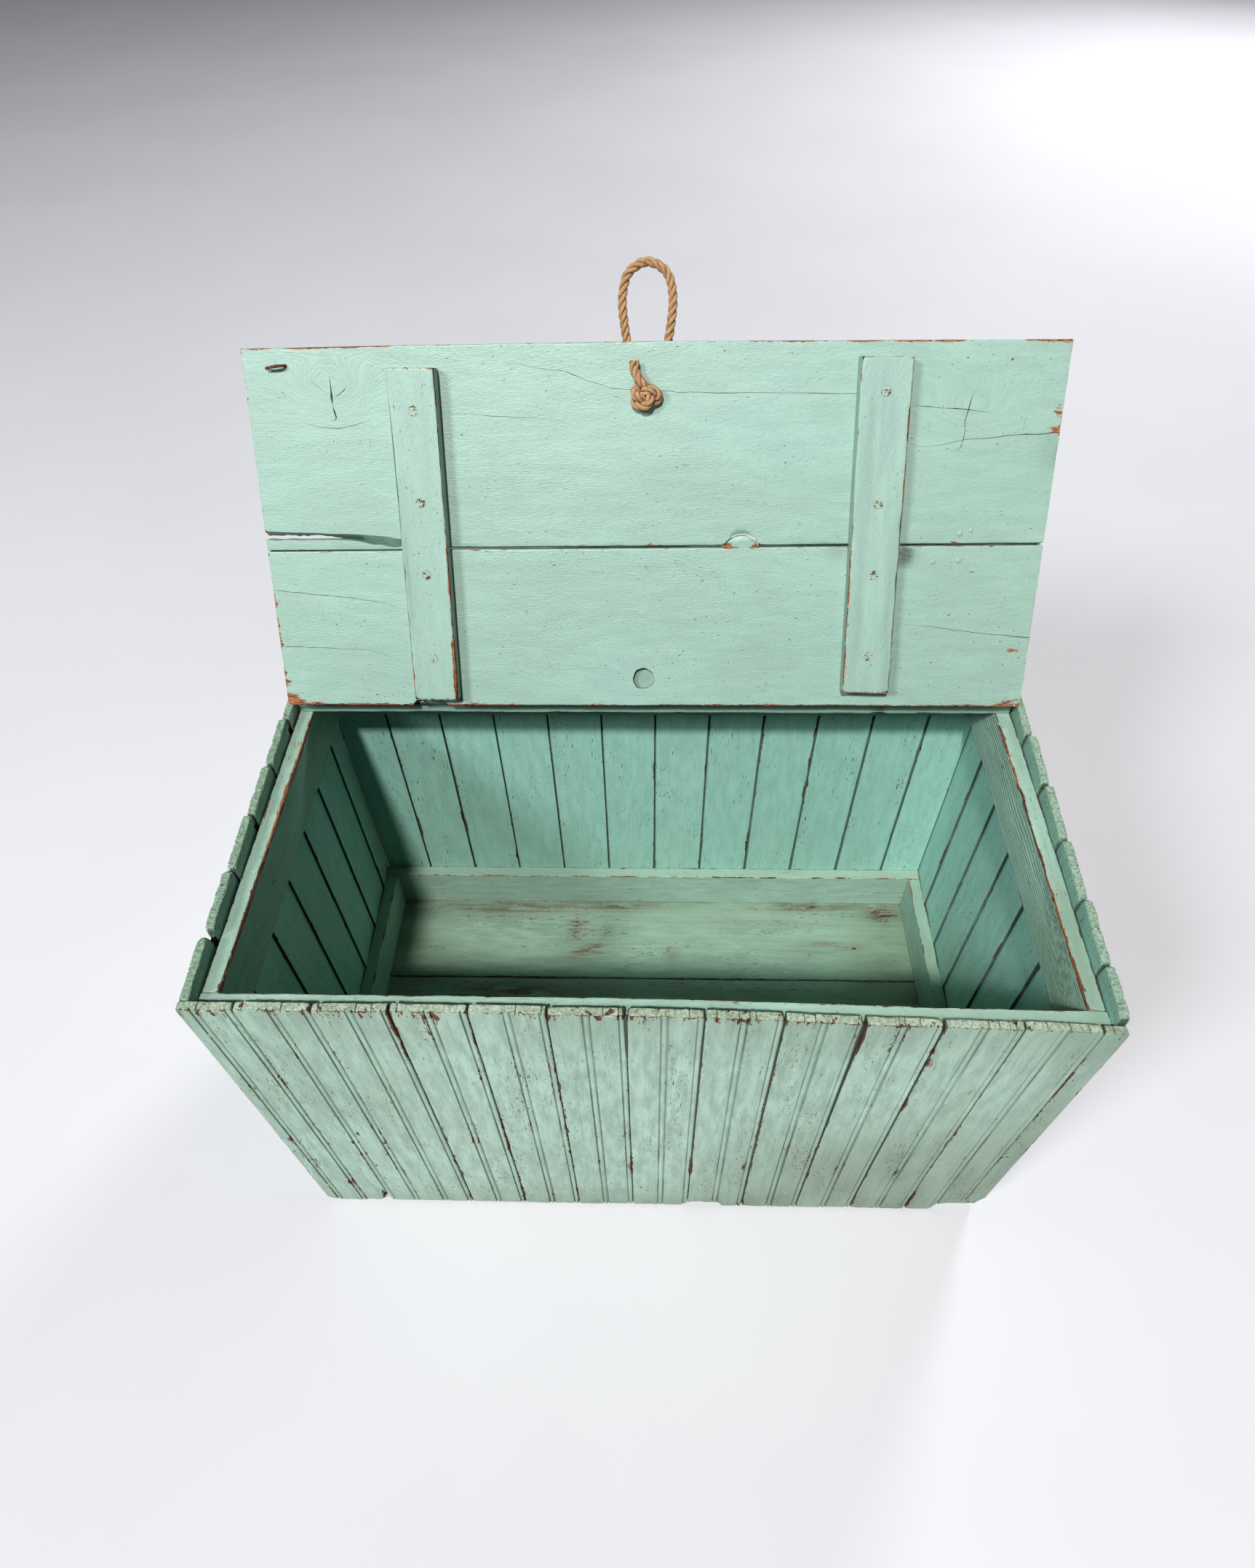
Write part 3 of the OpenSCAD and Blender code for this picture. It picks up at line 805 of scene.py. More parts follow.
# Extra opening of each wall's joints: joint number, then (height, opening) pairs
JOINTS_OPEN = {
    "front": {
        3: [(0, 1.3), (671, 1.6)], 4: [(0, 0.5), (400, 1.0), (671, 0.8)],
        5: [(0, 0.4), (671, 0.9)], 6: [(0, 0.2), (560, 0.3), (600, 2.2), (671, 3.2)],
        7: [(140, 0.2), (175, 2.6), (213, 1.3), (612, 1.3), (671, 0.4)],
        8: [(0, 1.5), (671, 1.8)], 9: [(0, 0.3), (255, 0.6), (500, 2.2), (671, 4.2)],
        10: [(0, 0.6), (671, 1.1)], 11: [(0, 2.4), (59, 1.3), (90, 0.2), (671, 0.2)],
    },
    "left": {
        1: [(0, 0.2), (671, 0.3)], 2: [(0, 0.3), (671, 0.4)], 3: [(0, 0.7), (420, 0.4), (671, 1.3)],
        4: [(0, 0.9), (400, 0.4), (671, 0.8)], 5: [(0, 1.0), (300, 1.9), (560, 1.8), (671, 0.5)],
        6: [(0, 0.3), (671, 0.6)],
    },
    "right": {
        1: [(0, 0.3), (671, 0.5)], 2: [(0, 0.3), (430, 0.6), (540, 2.6), (600, 0.6), (671, 0.6)],
        3: [(0, 0.4), (420, 0.5), (520, 1.4), (671, 0.6)], 4: [(0, 0.3), (671, 0.4)],
        5: [(0, 0.3), (671, 0.4)], 6: [(0, 0.2), (671, 0.3)],
    },
}
# How each wall's boards are made and have moved; see board()
WALL_BOARDS = {
    "front": dict(step=2.6, rows=7, corner=2.0, off=1.0),
    "left": dict(step=3.0, rows=12, corner=4.2, lean=-3.2, off=2.4, rough_top=1.3),
    "right": dict(step=3.0, rows=12, corner=4.2, lean=3.2, off=1.8, rough_top=1.3),
}
WALL_SEEDS = {"front": 100, "right": 200, "left": 300}
# The front wall's lower edge: (place across, height)
FRONT_FOOT = [
    (-534, 14), (-526, 5), (-515, 1), (-462, 2), (-459, 4), (-455, 2), (-443, 3), (-440.5, 12),
    (-436, 50), (-432, 54), (-428.5, 28), (-425, 3), (-380, 4), (-200, 1), (0, 3), (57, 3),
    (62, 17), (80, 22), (100, 19), (116, 14), (119, 2), (300, 4), (455, 3), (459, 5),
    (462, 26), (473, 34), (490, 42), (505, 45), (512, 46), (522, 37), (529, 58), (534, 69),
]
# The front wall's upper edge: how far it has worn down; the left end stands proud
FRONT_HEAD = [
    (-534, -9), (-469, -10), (-380, -11), (-291, -12), (-202, -11), (-114, -9), (-26, -8),
    (62, -8), (151, -7), (240, -6), (329, -4), (418, -3), (480, -1), (534, 3),
]
# Marks on the front wall: place across, height, half width, half height, strength
FRONT_MARKS = [
    (-414, 305, 4, 16, 0.7), (-223, 480, 3, 14, 0.6), (-264, 202, 4, 14, 0.6),
    (-161, 511, 3, 6, 0.6), (211, 530, 2.5, 14, 0.8), (211, 473, 3, 16, 0.8),
    (128, 530, 5, 5, 0.4), (514, 253, 5, 5, 0.7), (-26, 180, 3, 40, 0.6), (63, 178, 3, 34, 0.9),
    (329, 602, 4, 8, 0.8), (240, 620, 4, 40, 0.7), (-292, 640, 4, 28, 0.7),
    (-239, 648, 3, 22, 0.6), (420, 60, 3, 40, 0.7), (-203, 300, 3, 60, 0.4),
    (330, 420, 3, 90, 0.4), (150, 380, 3, 120, 0.35), (-480, 90, 18, 12, 0.3),
]
FRONT_CHIPS = [((x, -HALF_D, z), (a, 12, b), k) for x, z, a, b, k in FRONT_MARKS]


def bead_depth(offset):
    """Depth of a bead and the two quirks beside it, by distance from the bead's middle."""
    a = np.abs(offset)
    rise = 1.9 * np.clip(a / 3.5, 0, 1) ** 3.6
    quirk = 2.1 * (1 - smooth(a, 4.5, 5.1))
    return np.where(a <= 3.5, rise, quirk)


def settled(p):
    """Where the case's points have got to: its right front corner has sunk and spread."""
    w = smooth(p[:, 0], -80, 520) * smooth(-p[:, 1], -150, 290) * smooth(p[:, 2], 60, 640)
    q = p.copy()
    q[:, 1] -= 5.0 * w
    q[:, 2] -= 9.0 * w
    return q


def wall_place(wall):
    """How a wall's strip lies in the world: its start, its run and its inward direction."""
    return {
        "front": ((-HALF_W, -HALF_D), (1, 0), (0, 1)),
        "right": ((HALF_W, -HALF_D + BOARD_T), (0, 1), (-1, 0)),
        "back": ((HALF_W - BOARD_T, HALF_D), (-1, 0), (0, -1)),
        "left": ((-HALF_W, HALF_D), (0, -1), (1, 0)),
    }[wall]


def wall_to_world(wall, p):
    """World places of places on a wall's strip: along it, depth from its outer face, height."""
    start, run, inward = (np.array(v, float) for v in wall_place(wall))
    flat = start + p[:, :1] * run + p[:, 1:2] * inward
    return np.concatenate([flat, p[:, 2:]], axis=1)


def strip_range(wall, node):
    """Where a node lies along its wall's strip, from its CAD box."""
    start, run, _ = (np.array(v, float) for v in wall_place(wall))
    ends = [np.dot(np.array(corner[:2]) / MM - start, run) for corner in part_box(node)]
    return min(ends), max(ends)


def board_across(w, last, step):
    """Ticks over a board's width, close together at its beads and edges, and its beads' middles."""
    beads = []
    middle = w - COVER / 2 if not last else COVER / 2 - 0.6
    if 9 < middle < w - 9:
        beads.append(middle)
    if not last:
        beads.append(w - 3.5)
    stops = {0.0, 0.5, 1.4, 3.0, w - 1.4, w - 0.5, w}
    for b in beads:
        stops |= {b + s for s in BEAD_STOPS if 3.2 < b + s < w - 0.3}
    return ticks(sorted(stops), step), beads


def board_heights(tall, rows):
    """Ticks over a board's height, close together near its two ends."""
    parts = [ticks([0, 1, 3], 2), ticks([3, 60], 3.4), ticks([60, tall - 30], rows),
             ticks([tall - 30, tall - 10], 3.0), ticks([tall - 10, tall - 3, tall - 1, tall], 1.6)]
    return np.unique(np.concatenate(parts).round(4))


def crack_places(w, seed, most=5):
    """Where the worn end grain of a board has split, across its width."""
    count = 1 + int(chance(seed + 60) * most)
    places = sorted(chance(seed * 13 + 61 + k, 5, w - 5) for k in range(count))
    return [c for c, before in zip(places, [-9, *places]) if c - before > 6]


def board_radius(p, shifted, near, seed, corner, rough_top):
    """How far the arrises are worn: a little along the board, more and broken at its ends."""
    bites = np.clip(noise(shifted, (14, 14, 22), seed) + 0.5 * noise(shifted, 5, seed + 1), 0, 1)
    radius = (0.6 + 0.7 * bites) * (1 - 0.65 * smooth(p[:, 1], 7, 9))
    radius += near["z1"] * (0.7 + 2.4 * bites * rough_top) + near["z0"] * (0.8 + 2.6 * bites)
    for end, share in (("x0", chance(seed + 11)), ("x1", chance(seed + 12))):
        radius += near[end] * near["z1"] * corner * (0.25 + share) * 1.2
    return radius


def crumble_top(q, p, shifted, top, tall, seed, cracks, rough_top):
    """Breaks up the top's end grain between its cracks."""
    crumble = 0.9 + noise(shifted, (7, 6, 9), seed + 2) + 0.5 * noise(shifted, 2.7, seed + 3)
    none = np.zeros(len(p))
    cells = np.stack([np.searchsorted(cracks, p[:, 0]), none, none], -1).astype(np.int64)
    q[:, 2] -= top * (0.75 * crumble * rough_top + 1.3 * lattice(cells, seed + 3))
    q[:, 1] += 0.45 * top * (noise(shifted, (5, 9, 4), seed + 14) - 0.4) * (p[:, 1] < 1)
    for c in cracks:
        split = np.clip(1 - np.abs(p[:, 0] - c) / 0.5, 0, 1) * smooth(p[:, 2], tall - 9, tall)
        q[:, 2] -= 3.2 * split
        q[:, 1] += 1.6 * split * (p[:, 1] < 1)


def open_joints(q, p, shifted, w, opens, seed):
    """Draws a board's edges in where its joints have opened, with a little waviness."""
    for side, gap in enumerate(opens):
        weight = smooth(-p[:, 0] if side == 0 else p[:, 0] - w, -8.0, 0.0)
        amount = 0.25 * np.clip(noise(shifted, (40, 40, 45), seed + 6 + side), 0, 1)
        if len(gap):
            zs, mm = zip(*gap)
            amount = amount + np.interp(p[:, 2], zs, mm) / 2
        q[:, 0] += weight * amount * (1 if side == 0 else -1)


def board(w, tall, seed, last=False, foot=None, head=None, opens=((), ()), step=2.6, rows=8.0,
          corner=3.0, tilt=0.8, lean=0.0, off=0.0, rough_top=1.0):
    """One wall board in its own strip: across, depth from the outer face, height.

    foot and head give the worn ends' heights by the place across, opens the joints on both
    sides. lean turns the far edge outwards and off moves the top off its rail, in millimetres.
    Returns the worn points, the faces and the points of the board as it was new.
    """
    across, beads = board_across(w, last, step)
    cracks = crack_places(w, seed) if head is not None else []
    for c in cracks:
        across = across[np.abs(across - c) > 0.9]
        across = np.sort(np.append(across, [c - 0.7, c, c + 0.7]))
    p, faces = grid_box(across, BOARD_DEPTHS, board_heights(tall, rows))
    lo, hi = np.zeros(3), np.array([w, BOARD_T, tall])
    shifted = p + np.array([seed * 131.0, seed * 57.0, 0])
    near = nearness(p, lo, hi, 9.0)
    q = rounded(p, lo, hi, board_radius(p, shifted, near, seed, corner, rough_top))
    carve = np.zeros(len(p))
    for b in beads:
        carve = np.maximum(carve, bead_depth(p[:, 0] - b))
    q[:, 1] += carve * np.clip(1 - p[:, 1] / 5.5, 0, 1)
    if head is not None:
        crumble_top(q, p, shifted, near["z1"], tall, seed, cracks, rough_top)
        q[:, 2] -= head(p[:, 0]) * smooth(p[:, 2], tall - 60, tall)
    if foot is not None:
        lift = foot(p[:, 0]) + near["z0"] * (1.0 + noise(shifted, (7, 30, 30), seed + 4))
        lift = np.clip(lift, 0.05, 90)
        q[:, 2] = np.where(p[:, 2] < 80, lift + q[:, 2] * (80 - lift) / 80, q[:, 2])
    open_joints(q, p, shifted, w, opens, seed)
    # lean, cupping and a faintly uneven face
    lean = lean - tilt * (chance(seed + 8) - 0.5) * 2
    cup = 0.35 * (chance(seed + 9) - 0.3)
    x = p[:, 0] / w * 2 - 1
    q[:, 1] -= off * smooth(p[:, 2], 0.75 * tall, tall)
    q[:, 1] += -lean * x * 0.5 + cup * (x * x - 0.3) + 0.16 * noise(shifted, (9, 9, 110), seed + 10)
    if last:
        return q, faces, p
    strip = tongue_strip(w, tall, foot)
    return *joined([(q, faces), strip]), np.concatenate([p, strip[0]])


def tongue_strip(w, tall, foot):
    """The tongue that closes the joint behind the bead."""
    rest = 3.0 if foot is None else 6.0 + float(np.max(foot(np.array([w, w + TONGUE]))))
    xs, ys = np.array([w - 4, w + 2, w + TONGUE + 3.5]), np.array([4.0, 5.6, 7.2])
    return grid_box(xs, ys, ticks([rest, tall - 9], 60))


def board_values(p, w, tall, last, seed, bare, grime_and_shade):
    """The paint's values for a board, from its points when new."""
    hi = np.array([w, BOARD_T, tall])
    values = timber_values(p, np.zeros(3), hi, 2, seed, bare, grime_and_shade, wear_reach=3.0, wear=0.30)
    _, beads = board_across(w, last, 9)
    outer = np.clip(1 - p[:, 1] / 2.5, 0, 1)
    quirk, beside = np.zeros(len(p)), np.zeros(len(p))
    for b in beads:
        away = np.abs(p[:, 0] - b)
        quirk = np.maximum(quirk, (away > 3.0) * (away < 4.9) * outer)
        beside = np.maximum(beside, np.clip(1 - np.abs(away - 4.6) / 4.5, 0, 1) * outer)
    edge = np.maximum(np.clip(1 - p[:, 0] / 1.2, 0, 1), np.clip(1 - (w - p[:, 0]) / 1.4, 0, 1))
    beside = np.maximum(beside, np.clip(1 - np.minimum(p[:, 0], w - p[:, 0]) / 5, 0, 1) * outer)
    rim = edge * smooth(p[:, 1], 0.4, 2.0) * (1 - values["end"]) * (1 - 0.45 * (p[:, 1] > 10.5))
    tongue = (p[:, 0] > w) * 1.0
    patchy = smooth(noise(p + seed * 31.0, (300, 30, 60), seed + 40), -0.35, 0.5)
    quirk = quirk * (0.16 + 0.40 * patchy)
    values["groove"] = np.clip(quirk + 0.8 * rim + tongue, 0, 1) * (1 - 0.9 * values["end"])
    ragged = smooth(noise(p + seed * 17.0, (300, 30, 46), seed + 41), 0.25, 0.6) * (p[:, 1] > 9)
    beside += 1.9 * ragged * np.clip(1 - np.minimum(p[:, 0], w - p[:, 0]) / 5, 0, 1)
    values["bare"] = np.clip(values["bare"] + 0.30 * beside * np.maximum(patchy, ragged), 0, 1)
    return values


def front_dirt_and_shade(world):
    """Hands and weather along the top, splashes along the foot, and painted shade deepening towards the
    lower right.
    """
    top = smooth(world[:, 2], 520, 660) * (0.65 + 0.35 * noise(world, (60, 60, 50), 71))
    low = smooth(-world[:, 2], -110, -10) * 0.45
    # painted shade: darker towards the lower right of the front wall
    low += 1.15 * smooth(world[:, 0] - 0.9 * world[:, 2], -260, 420)
    return np.clip(0.04 + 0.62 * top + low + 0.20 * noise(world, (150, 150, 220), 72), 0, 1)


def side_grime(world):
    """Thinner dirt at the tops and feet of the other walls."""
    top = smooth(world[:, 2], 560, 665) * 0.35
    low = smooth(-world[:, 2], -160, -30) * 0.4
    return np.clip(0.02 + top + low + 0.16 * noise(world, (120, 120, 200), 73), 0, 1)


def board_ends(wall, index, seed, start):
    """A board's foot and head, as functions of the place across it."""
    drop = 1.0 + 3.0 * chance(40 * len(wall) + 7 * index)
    if wall == "front":
        def foot(s):
            return np.interp(s + start - HALF_W, *zip(*FRONT_FOOT))

        def head(s):
            return np.interp(s + start - HALF_W, *zip(*FRONT_HEAD)) + 0.6 * drop
    else:
        def foot(s):
            return 1.5 + 1.5 * chance(seed + 20) + 0 * s

        def head(s):
            return drop - 9.5 + 0 * s
    return foot, head


def make_wall(wall, material):
    """The boards of a wall, each its own piece."""
    nodes = [n for n in frame["nodes"] if n.startswith(wall + "_board_")]
    nodes.sort(key=lambda n: int(n.rsplit("_", 1)[1]))
    for i, node in enumerate(nodes, 1):
        start, end = strip_range(wall, node)
        last = i == len(nodes)
        w = end - start - (0 if last else TONGUE)
        seed = WALL_SEEDS[wall] + i
        foot, head = board_ends(wall, i, seed, start)
        opens = [JOINTS_OPEN[wall].get(k, ()) for k in (i - 1, i)]
        worn, faces, new = board(w, WALL_H, seed, last, foot, head, opens, **WALL_BOARDS[wall])
        world = settled(wall_to_world(wall, worn + np.array([start, 0, 0])))
        if wall == "front":
            bare = spots(world, FRONT_CHIPS) + 0.30 * smooth(world[:, 2], 655, 668)
            values = board_values(new, w, WALL_H, last, seed, bare, front_dirt_and_shade(world))
        else:
            values = board_values(new, w, WALL_H, last, seed, 0.0, side_grime(world))
            lip = 0.45 * smooth(new[:, 2], 652, 660) * (new[:, 0] <= w)
            values["end"] = np.maximum(values["end"], lip)
        mesh = mesh_from(node + "_worn", world, faces)
        set_values(mesh, values)
        show(node + "_worn", mesh, material, "case", [node])


BACK_FIRST = 72.7
BACK_LEN = 1045.0
BACK_GAP = 0.6


def make_back(material):
    """The back wall's boards, which end under the fixed plank, as one piece."""
    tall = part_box("back_boards")[1].z / MM
    joints = [0.0, *np.arange(BACK_FIRST, BACK_LEN - 20, COVER), BACK_LEN]
    meshes, values = [], []
    before = ()
    for i, (a, b) in enumerate(zip(joints, joints[1:]), 1):
        last = b == BACK_LEN
        start, end = a + (0 if i == 1 else BACK_GAP / 2), b - (0 if last else BACK_GAP / 2)
        seed = 400 + i

        def foot(s, seed=seed):
            return 1.0 + 2.0 * chance(seed + 20) + 0 * s
        opening = [(0, 2.2 + 2.6 * chance(seed + 31)), (tall / 2, 1.6 + 1.6 * chance(seed + 33)),
                   (tall, 2.0 + 1.2 * chance(seed + 32))]
        worn, faces, new = board(end - start, tall, seed, last, foot, None, (before, opening),
                                 step=4.0, rows=14, tilt=0.5)
        before = opening
        world = wall_to_world("back", worn + np.array([start, 0, 0]))
        values.append(board_values(new, end - start, tall, last, seed, 0.0, side_grime(world)))
        meshes.append((world, faces))
    mesh = mesh_from("back_boards_worn", *joined(meshes))
    set_values(mesh, {k: np.concatenate([v[k] for v in values]) for k in values[0]})
    show("back_boards_worn", mesh, material, "case", ["back_boards"])


# ---------------------------------------------------------------- rails and floor


def timber(lo, hi, seed, steps, arris=1.2, bite=1.6, uneven=0.25, worn=(), grain=0):
    """A planed length of timber between two corners, with worn arrises.

    worn lists (face, face, extra radius) for arrises that hands or lids have rubbed.
    """
    size = hi - lo
    p, faces = grid_box(*[edge_ticks(size[k], steps[k]) for k in range(3)])
    p = p + lo
    shift = np.array([seed * 37.0, seed * 91.0, seed * 53.0])
    cell = np.where(np.arange(3) == grain, 34.0, 9.0)
    bites = np.clip(noise(p + shift, cell, seed) + 0.4 * noise(p + shift, cell / 3, seed + 1), 0, 1)
    near = nearness(p, lo, hi, 7.0)
    radius = arris + bite * bites
    for a, b, extra in worn:
        radius = radius + near[a] * near[b] * extra * (0.55 + 0.9 * bites)
    q = rounded(p, lo, hi, radius)
    long = np.where(np.arange(3) == grain, 260.0, 22.0)
    for axis in range(3):
        if axis == grain:
            continue
        ridge = uneven * noise(p + shift, long, seed + 5 + axis)
        ridge += 0.35 * uneven * noise(p + shift, long / 4, seed + 8 + axis)
        side = near["xyz"[axis] + "1"] - near["xyz"[axis] + "0"]
        q[:, axis] += np.clip(side, -1, 1) * (ridge - uneven)
    return q, faces, p


def make_timber(node, seed, grain, material, slot, steps, bare=None, grime_and_shade=None, ridges=0.0, **how):
    """A rail or plank that stands for one CAD node."""
    low, high = (np.array(c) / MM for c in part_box(node))
    points, faces, new = timber(low, high, seed, steps, grain=grain, **how)
    furrow = ridged(points, new, low, high, ridges, seed) if ridges else 0.0
    name = node + "_worn"
    mesh = mesh_from(name, settled(points), faces)
    extra = bare(points) if bare else 0.0
    near = nearness(points, low, high, 6.0)
    for a, b, size in how.get("worn", ()):
        extra = extra + 0.22 * size * (near[a] * near[b]) ** 0.7
    # This value is dirt, plus painted shade where the function passed in gives it: the rails' right front
    # corner and the floor's front part.
    darkening = 0.05 + 0.2 * noise(points, (80, 80, 80), seed + 3)
    if grime_and_shade:
        darkening = darkening + grime_and_shade(points)
    values = timber_values(new, low, high, grain, seed, extra, darkening)
    values["groove"] = np.clip(values["groove"] + 0.10 * furrow * ridges, 0, 1)
    set_values(mesh, values)
    show(name, mesh, material, "case", [node])


# The mesh's steps for a rail along each axis
RAIL_STEPS = ((9.0, 5.0, 5.0), (3.6, 9.0, 1.3))
RAIL_FACE = 500.0
# Each side's rails: seed, axis they run along, the top one's rubbed arrises, its furrows' depth
RAILS = {
    "left": (24, 1, [("x1", "z1", 2.6)], 0.35),
    "right": (25, 1, [("x0", "z1", 1.5)], 1.2),
    "front": (27, 0, [("y1", "z1", 1.0), ("y0", "z1", 0.7)], 0.0),
    "back": (26, 0, [("y0", "z1", 1.0), ("y1", "z1", 0.7)], 0.0),
}


def rail_rub(p):
    """Where the lid and hands have rubbed the end rails' inner top edges to the wood."""
    left = p[:, 0] < 0
    reach = np.where(left, 3.2, 1.9)
    near = np.clip(1 - np.abs(np.abs(p[:, 0]) - RAIL_FACE) / reach, 0, 1) * smooth(p[:, 2], 651.5, 654.5)
    span = np.where(left, smooth(-p[:, 1], -190, -60), 0.75)
    patchy = smooth(noise(p, (40, 46, 40), 211), -0.75, 0.1)
    return 0.95 * near**0.6 * span * patchy + 0.12


def rail_painted_shadow(p):
    """Painted shadow on the rails' right front corner."""
    return 0.85 * smooth(p[:, 0] - 1.6 * p[:, 1], 560, 800)


def rail_dust(p):
    """Dust on top of the bottom rails."""
    return 0.5 * smooth(p[:, 2], 112, 119)


def ridged(q, p, lo, hi, depth, seed):
    """Weathered grain standing up in long furrows on an end rail's inner face."""
    right = p[:, 0] > 0
    face = np.abs(p[:, 0] - np.where(right, lo[0], hi[0])) < 0.1
    wander = 2.6 * noise(p, (60, 210, 60), seed) + 0.5 * noise(p, (60, 60, 30), seed + 1)
    crest = 2.4 * np.exp(-(((p[:, 1] + 60) / 110) ** 2))
    crest += 1.8 * np.exp(-(((p[:, 1] - 150) / 90) ** 2))
    phase = (p[:, 2] - lo[2]) / 5.2 + wander - crest
    furrow = np.exp(-(((phase - np.floor(phase) - 0.5) / 0.16) ** 2))
    upper = 0.25 + 0.75 * smooth(p[:, 2], lo[2] + 22, lo[2] + 50)
    q[:, 0] += np.where(right, 1, -1) * face * furrow * depth * upper
    return furrow * face * upper


def make_rails(material):
    """Four rails round the top and four round the floor."""
    for side, (seed, grain, worn, ridges) in RAILS.items():
        steps = RAIL_STEPS[grain]
        rubbed = dict(uneven=0.45, bare=rail_rub) if grain == 1 else {}
        make_timber(side + "_top_rail", seed, grain, material, "rail_paint", steps, worn=worn,
                    ridges=ridges, grime_and_shade=rail_painted_shadow, **rubbed)
        inner = [(worn[0][0], "z1", 0.4)]
        make_timber(side + "_bottom_rail", seed + 10, grain, material, "rail_paint", steps,
                    worn=inner, grime_and_shade=rail_dust)


FLOOR_WORN = [
    ((-262, 256, 30), (150, 14, 20), 0.66), ((-60, 262, 30), (60, 9, 20), 0.6),
    ((300, 262, 30), (140, 10, 20), 0.55), ((462, 246, 30), (22, 16, 20), 0.8),
    ((-112, 160, 30), (34, 15, 20), 0.95), ((-150, 150, 30), (26, 10, 20), 0.6),
    ((-150, 205, 30), (14, 26, 20), 0.6), ((-85, 205, 30), (12, 14, 20), 0.6),
    ((-262, 60, 30), (120, 30, 20), 0.8), ((40, 150, 30), (18, 20, 20), 0.4),
    ((350, 175, 30), (60, 16, 20), 0.5), ((200, 225, 30), (160, 10, 20), 0.4),
    ((-40, 20, 30), (16, 5, 20), 0.8),
]


def floor_dirt_and_shade(p):
    """Darker towards the ends and the back of the floor, with painted shadow over its front part, where
    the front wall's shadow falls.
    """
    ends = smooth(np.abs(p[:, 0]), 330, 490) + 0.5 * smooth(p[:, 1], 235, 272)
    # painted shadow: the front wall's shadow over the floor's front part
    ends += 0.8 * smooth(-p[:, 1], -110, -60)
    return 0.20 + 0.4 * noise(p, (160, 50, 50), 61) + ends


def floor_rub(p):
    """Where the floor's upper face has worn to the wood."""
    return 0.55 * spots(p, FLOOR_WORN) * (p[:, 2] > 25)


def make_floor(material):
    """The floor's planks."""
    nodes = sorted(n for n in frame["nodes"] if n.startswith("floor_plank_"))
    for i, node in enumerate(nodes):
        make_timber(node, 50 + i, 0, material, "floor_paint", (12.0, 8.0, 7.0), bare=floor_rub,
                    grime_and_shade=floor_dirt_and_shade, uneven=0.3)


# ---------------------------------------------------------------- lid

LID_W = 1040.0
LID_D = 468.0
REAR_D = 224.0
SEAM = 2.7
FRONT_V = REAR_D + SEAM
BATTEN_T = 22.0
# Battens: middle across, distance of the near end from the hinge edge, turn, width, length
BATTENS = (
    ("left_batten", -302.3, 13.6, 0.25, 62.0, 430.0),
    ("right_batten", 293.2, 25.0, 1.0, 65.0, 428.0),
)
# Holes in the lid: across, distance from the hinge edge, radius and, if blind, depth
BLIND_HOLE = (-10.6, 39.9, 15.2, 10.0)
ROPE_HOLE = (-9.0, 411.0, 13.0)
SCOOP_X, SCOOP_R = 120.0, 19.0
SPLIT_TIP = -306.0
# The split in the front plank: places across, its two edges, its width at the back
SPLIT_X = (-532, -520, -440, -420, -400, -380, -360, -340, -306)
SPLIT_LOW = (231.4, 231.5, 231.7, 231.6, 230.6, 229.9, 229.4, 229.0, 228.8)
SPLIT_HIGH = (243.6, 243.2, 240.2, 239.8, 239.2, 237.8, 236.2, 233.2, 229.2)
SPLIT_DEEP = (5.6, 5.6, 4.8, 0.5, 0.05, 0.05, 0.05, 0.05, 0.05)
# The bit broken from the lid's hinge edge
BROKEN = [(-343, -2), (-289, -2), (-293, 4), (-299, 9), (-309, 11), (-322, 8), (-334, 10), (-340, 4)]
HINGE_X, HINGE_LEN = 316.0, 64.0
POCKET_R = 4.4
# Nail heads in the lid: across, distance from the hinge edge, radius
NAIL_HEADS = [(408, 238.4, 3.5), (421.9, 242.6, 3.2), (410, 203.1, 3.2), (376.4, 201.6, 3.2)]
# A dark knot: across, distance from the hinge edge, half sizes
DARK_KNOT = (334, 208, 17, 16)
# Knots in the lid: across, distance from the hinge edge, how far the grain swells round them
LID_KNOTS = [(-411, 419, 62.0), (402, 391, 58.0), (-11, 43, 16.0), (180, 300, 14.0), (-160, 120, 14.0)]
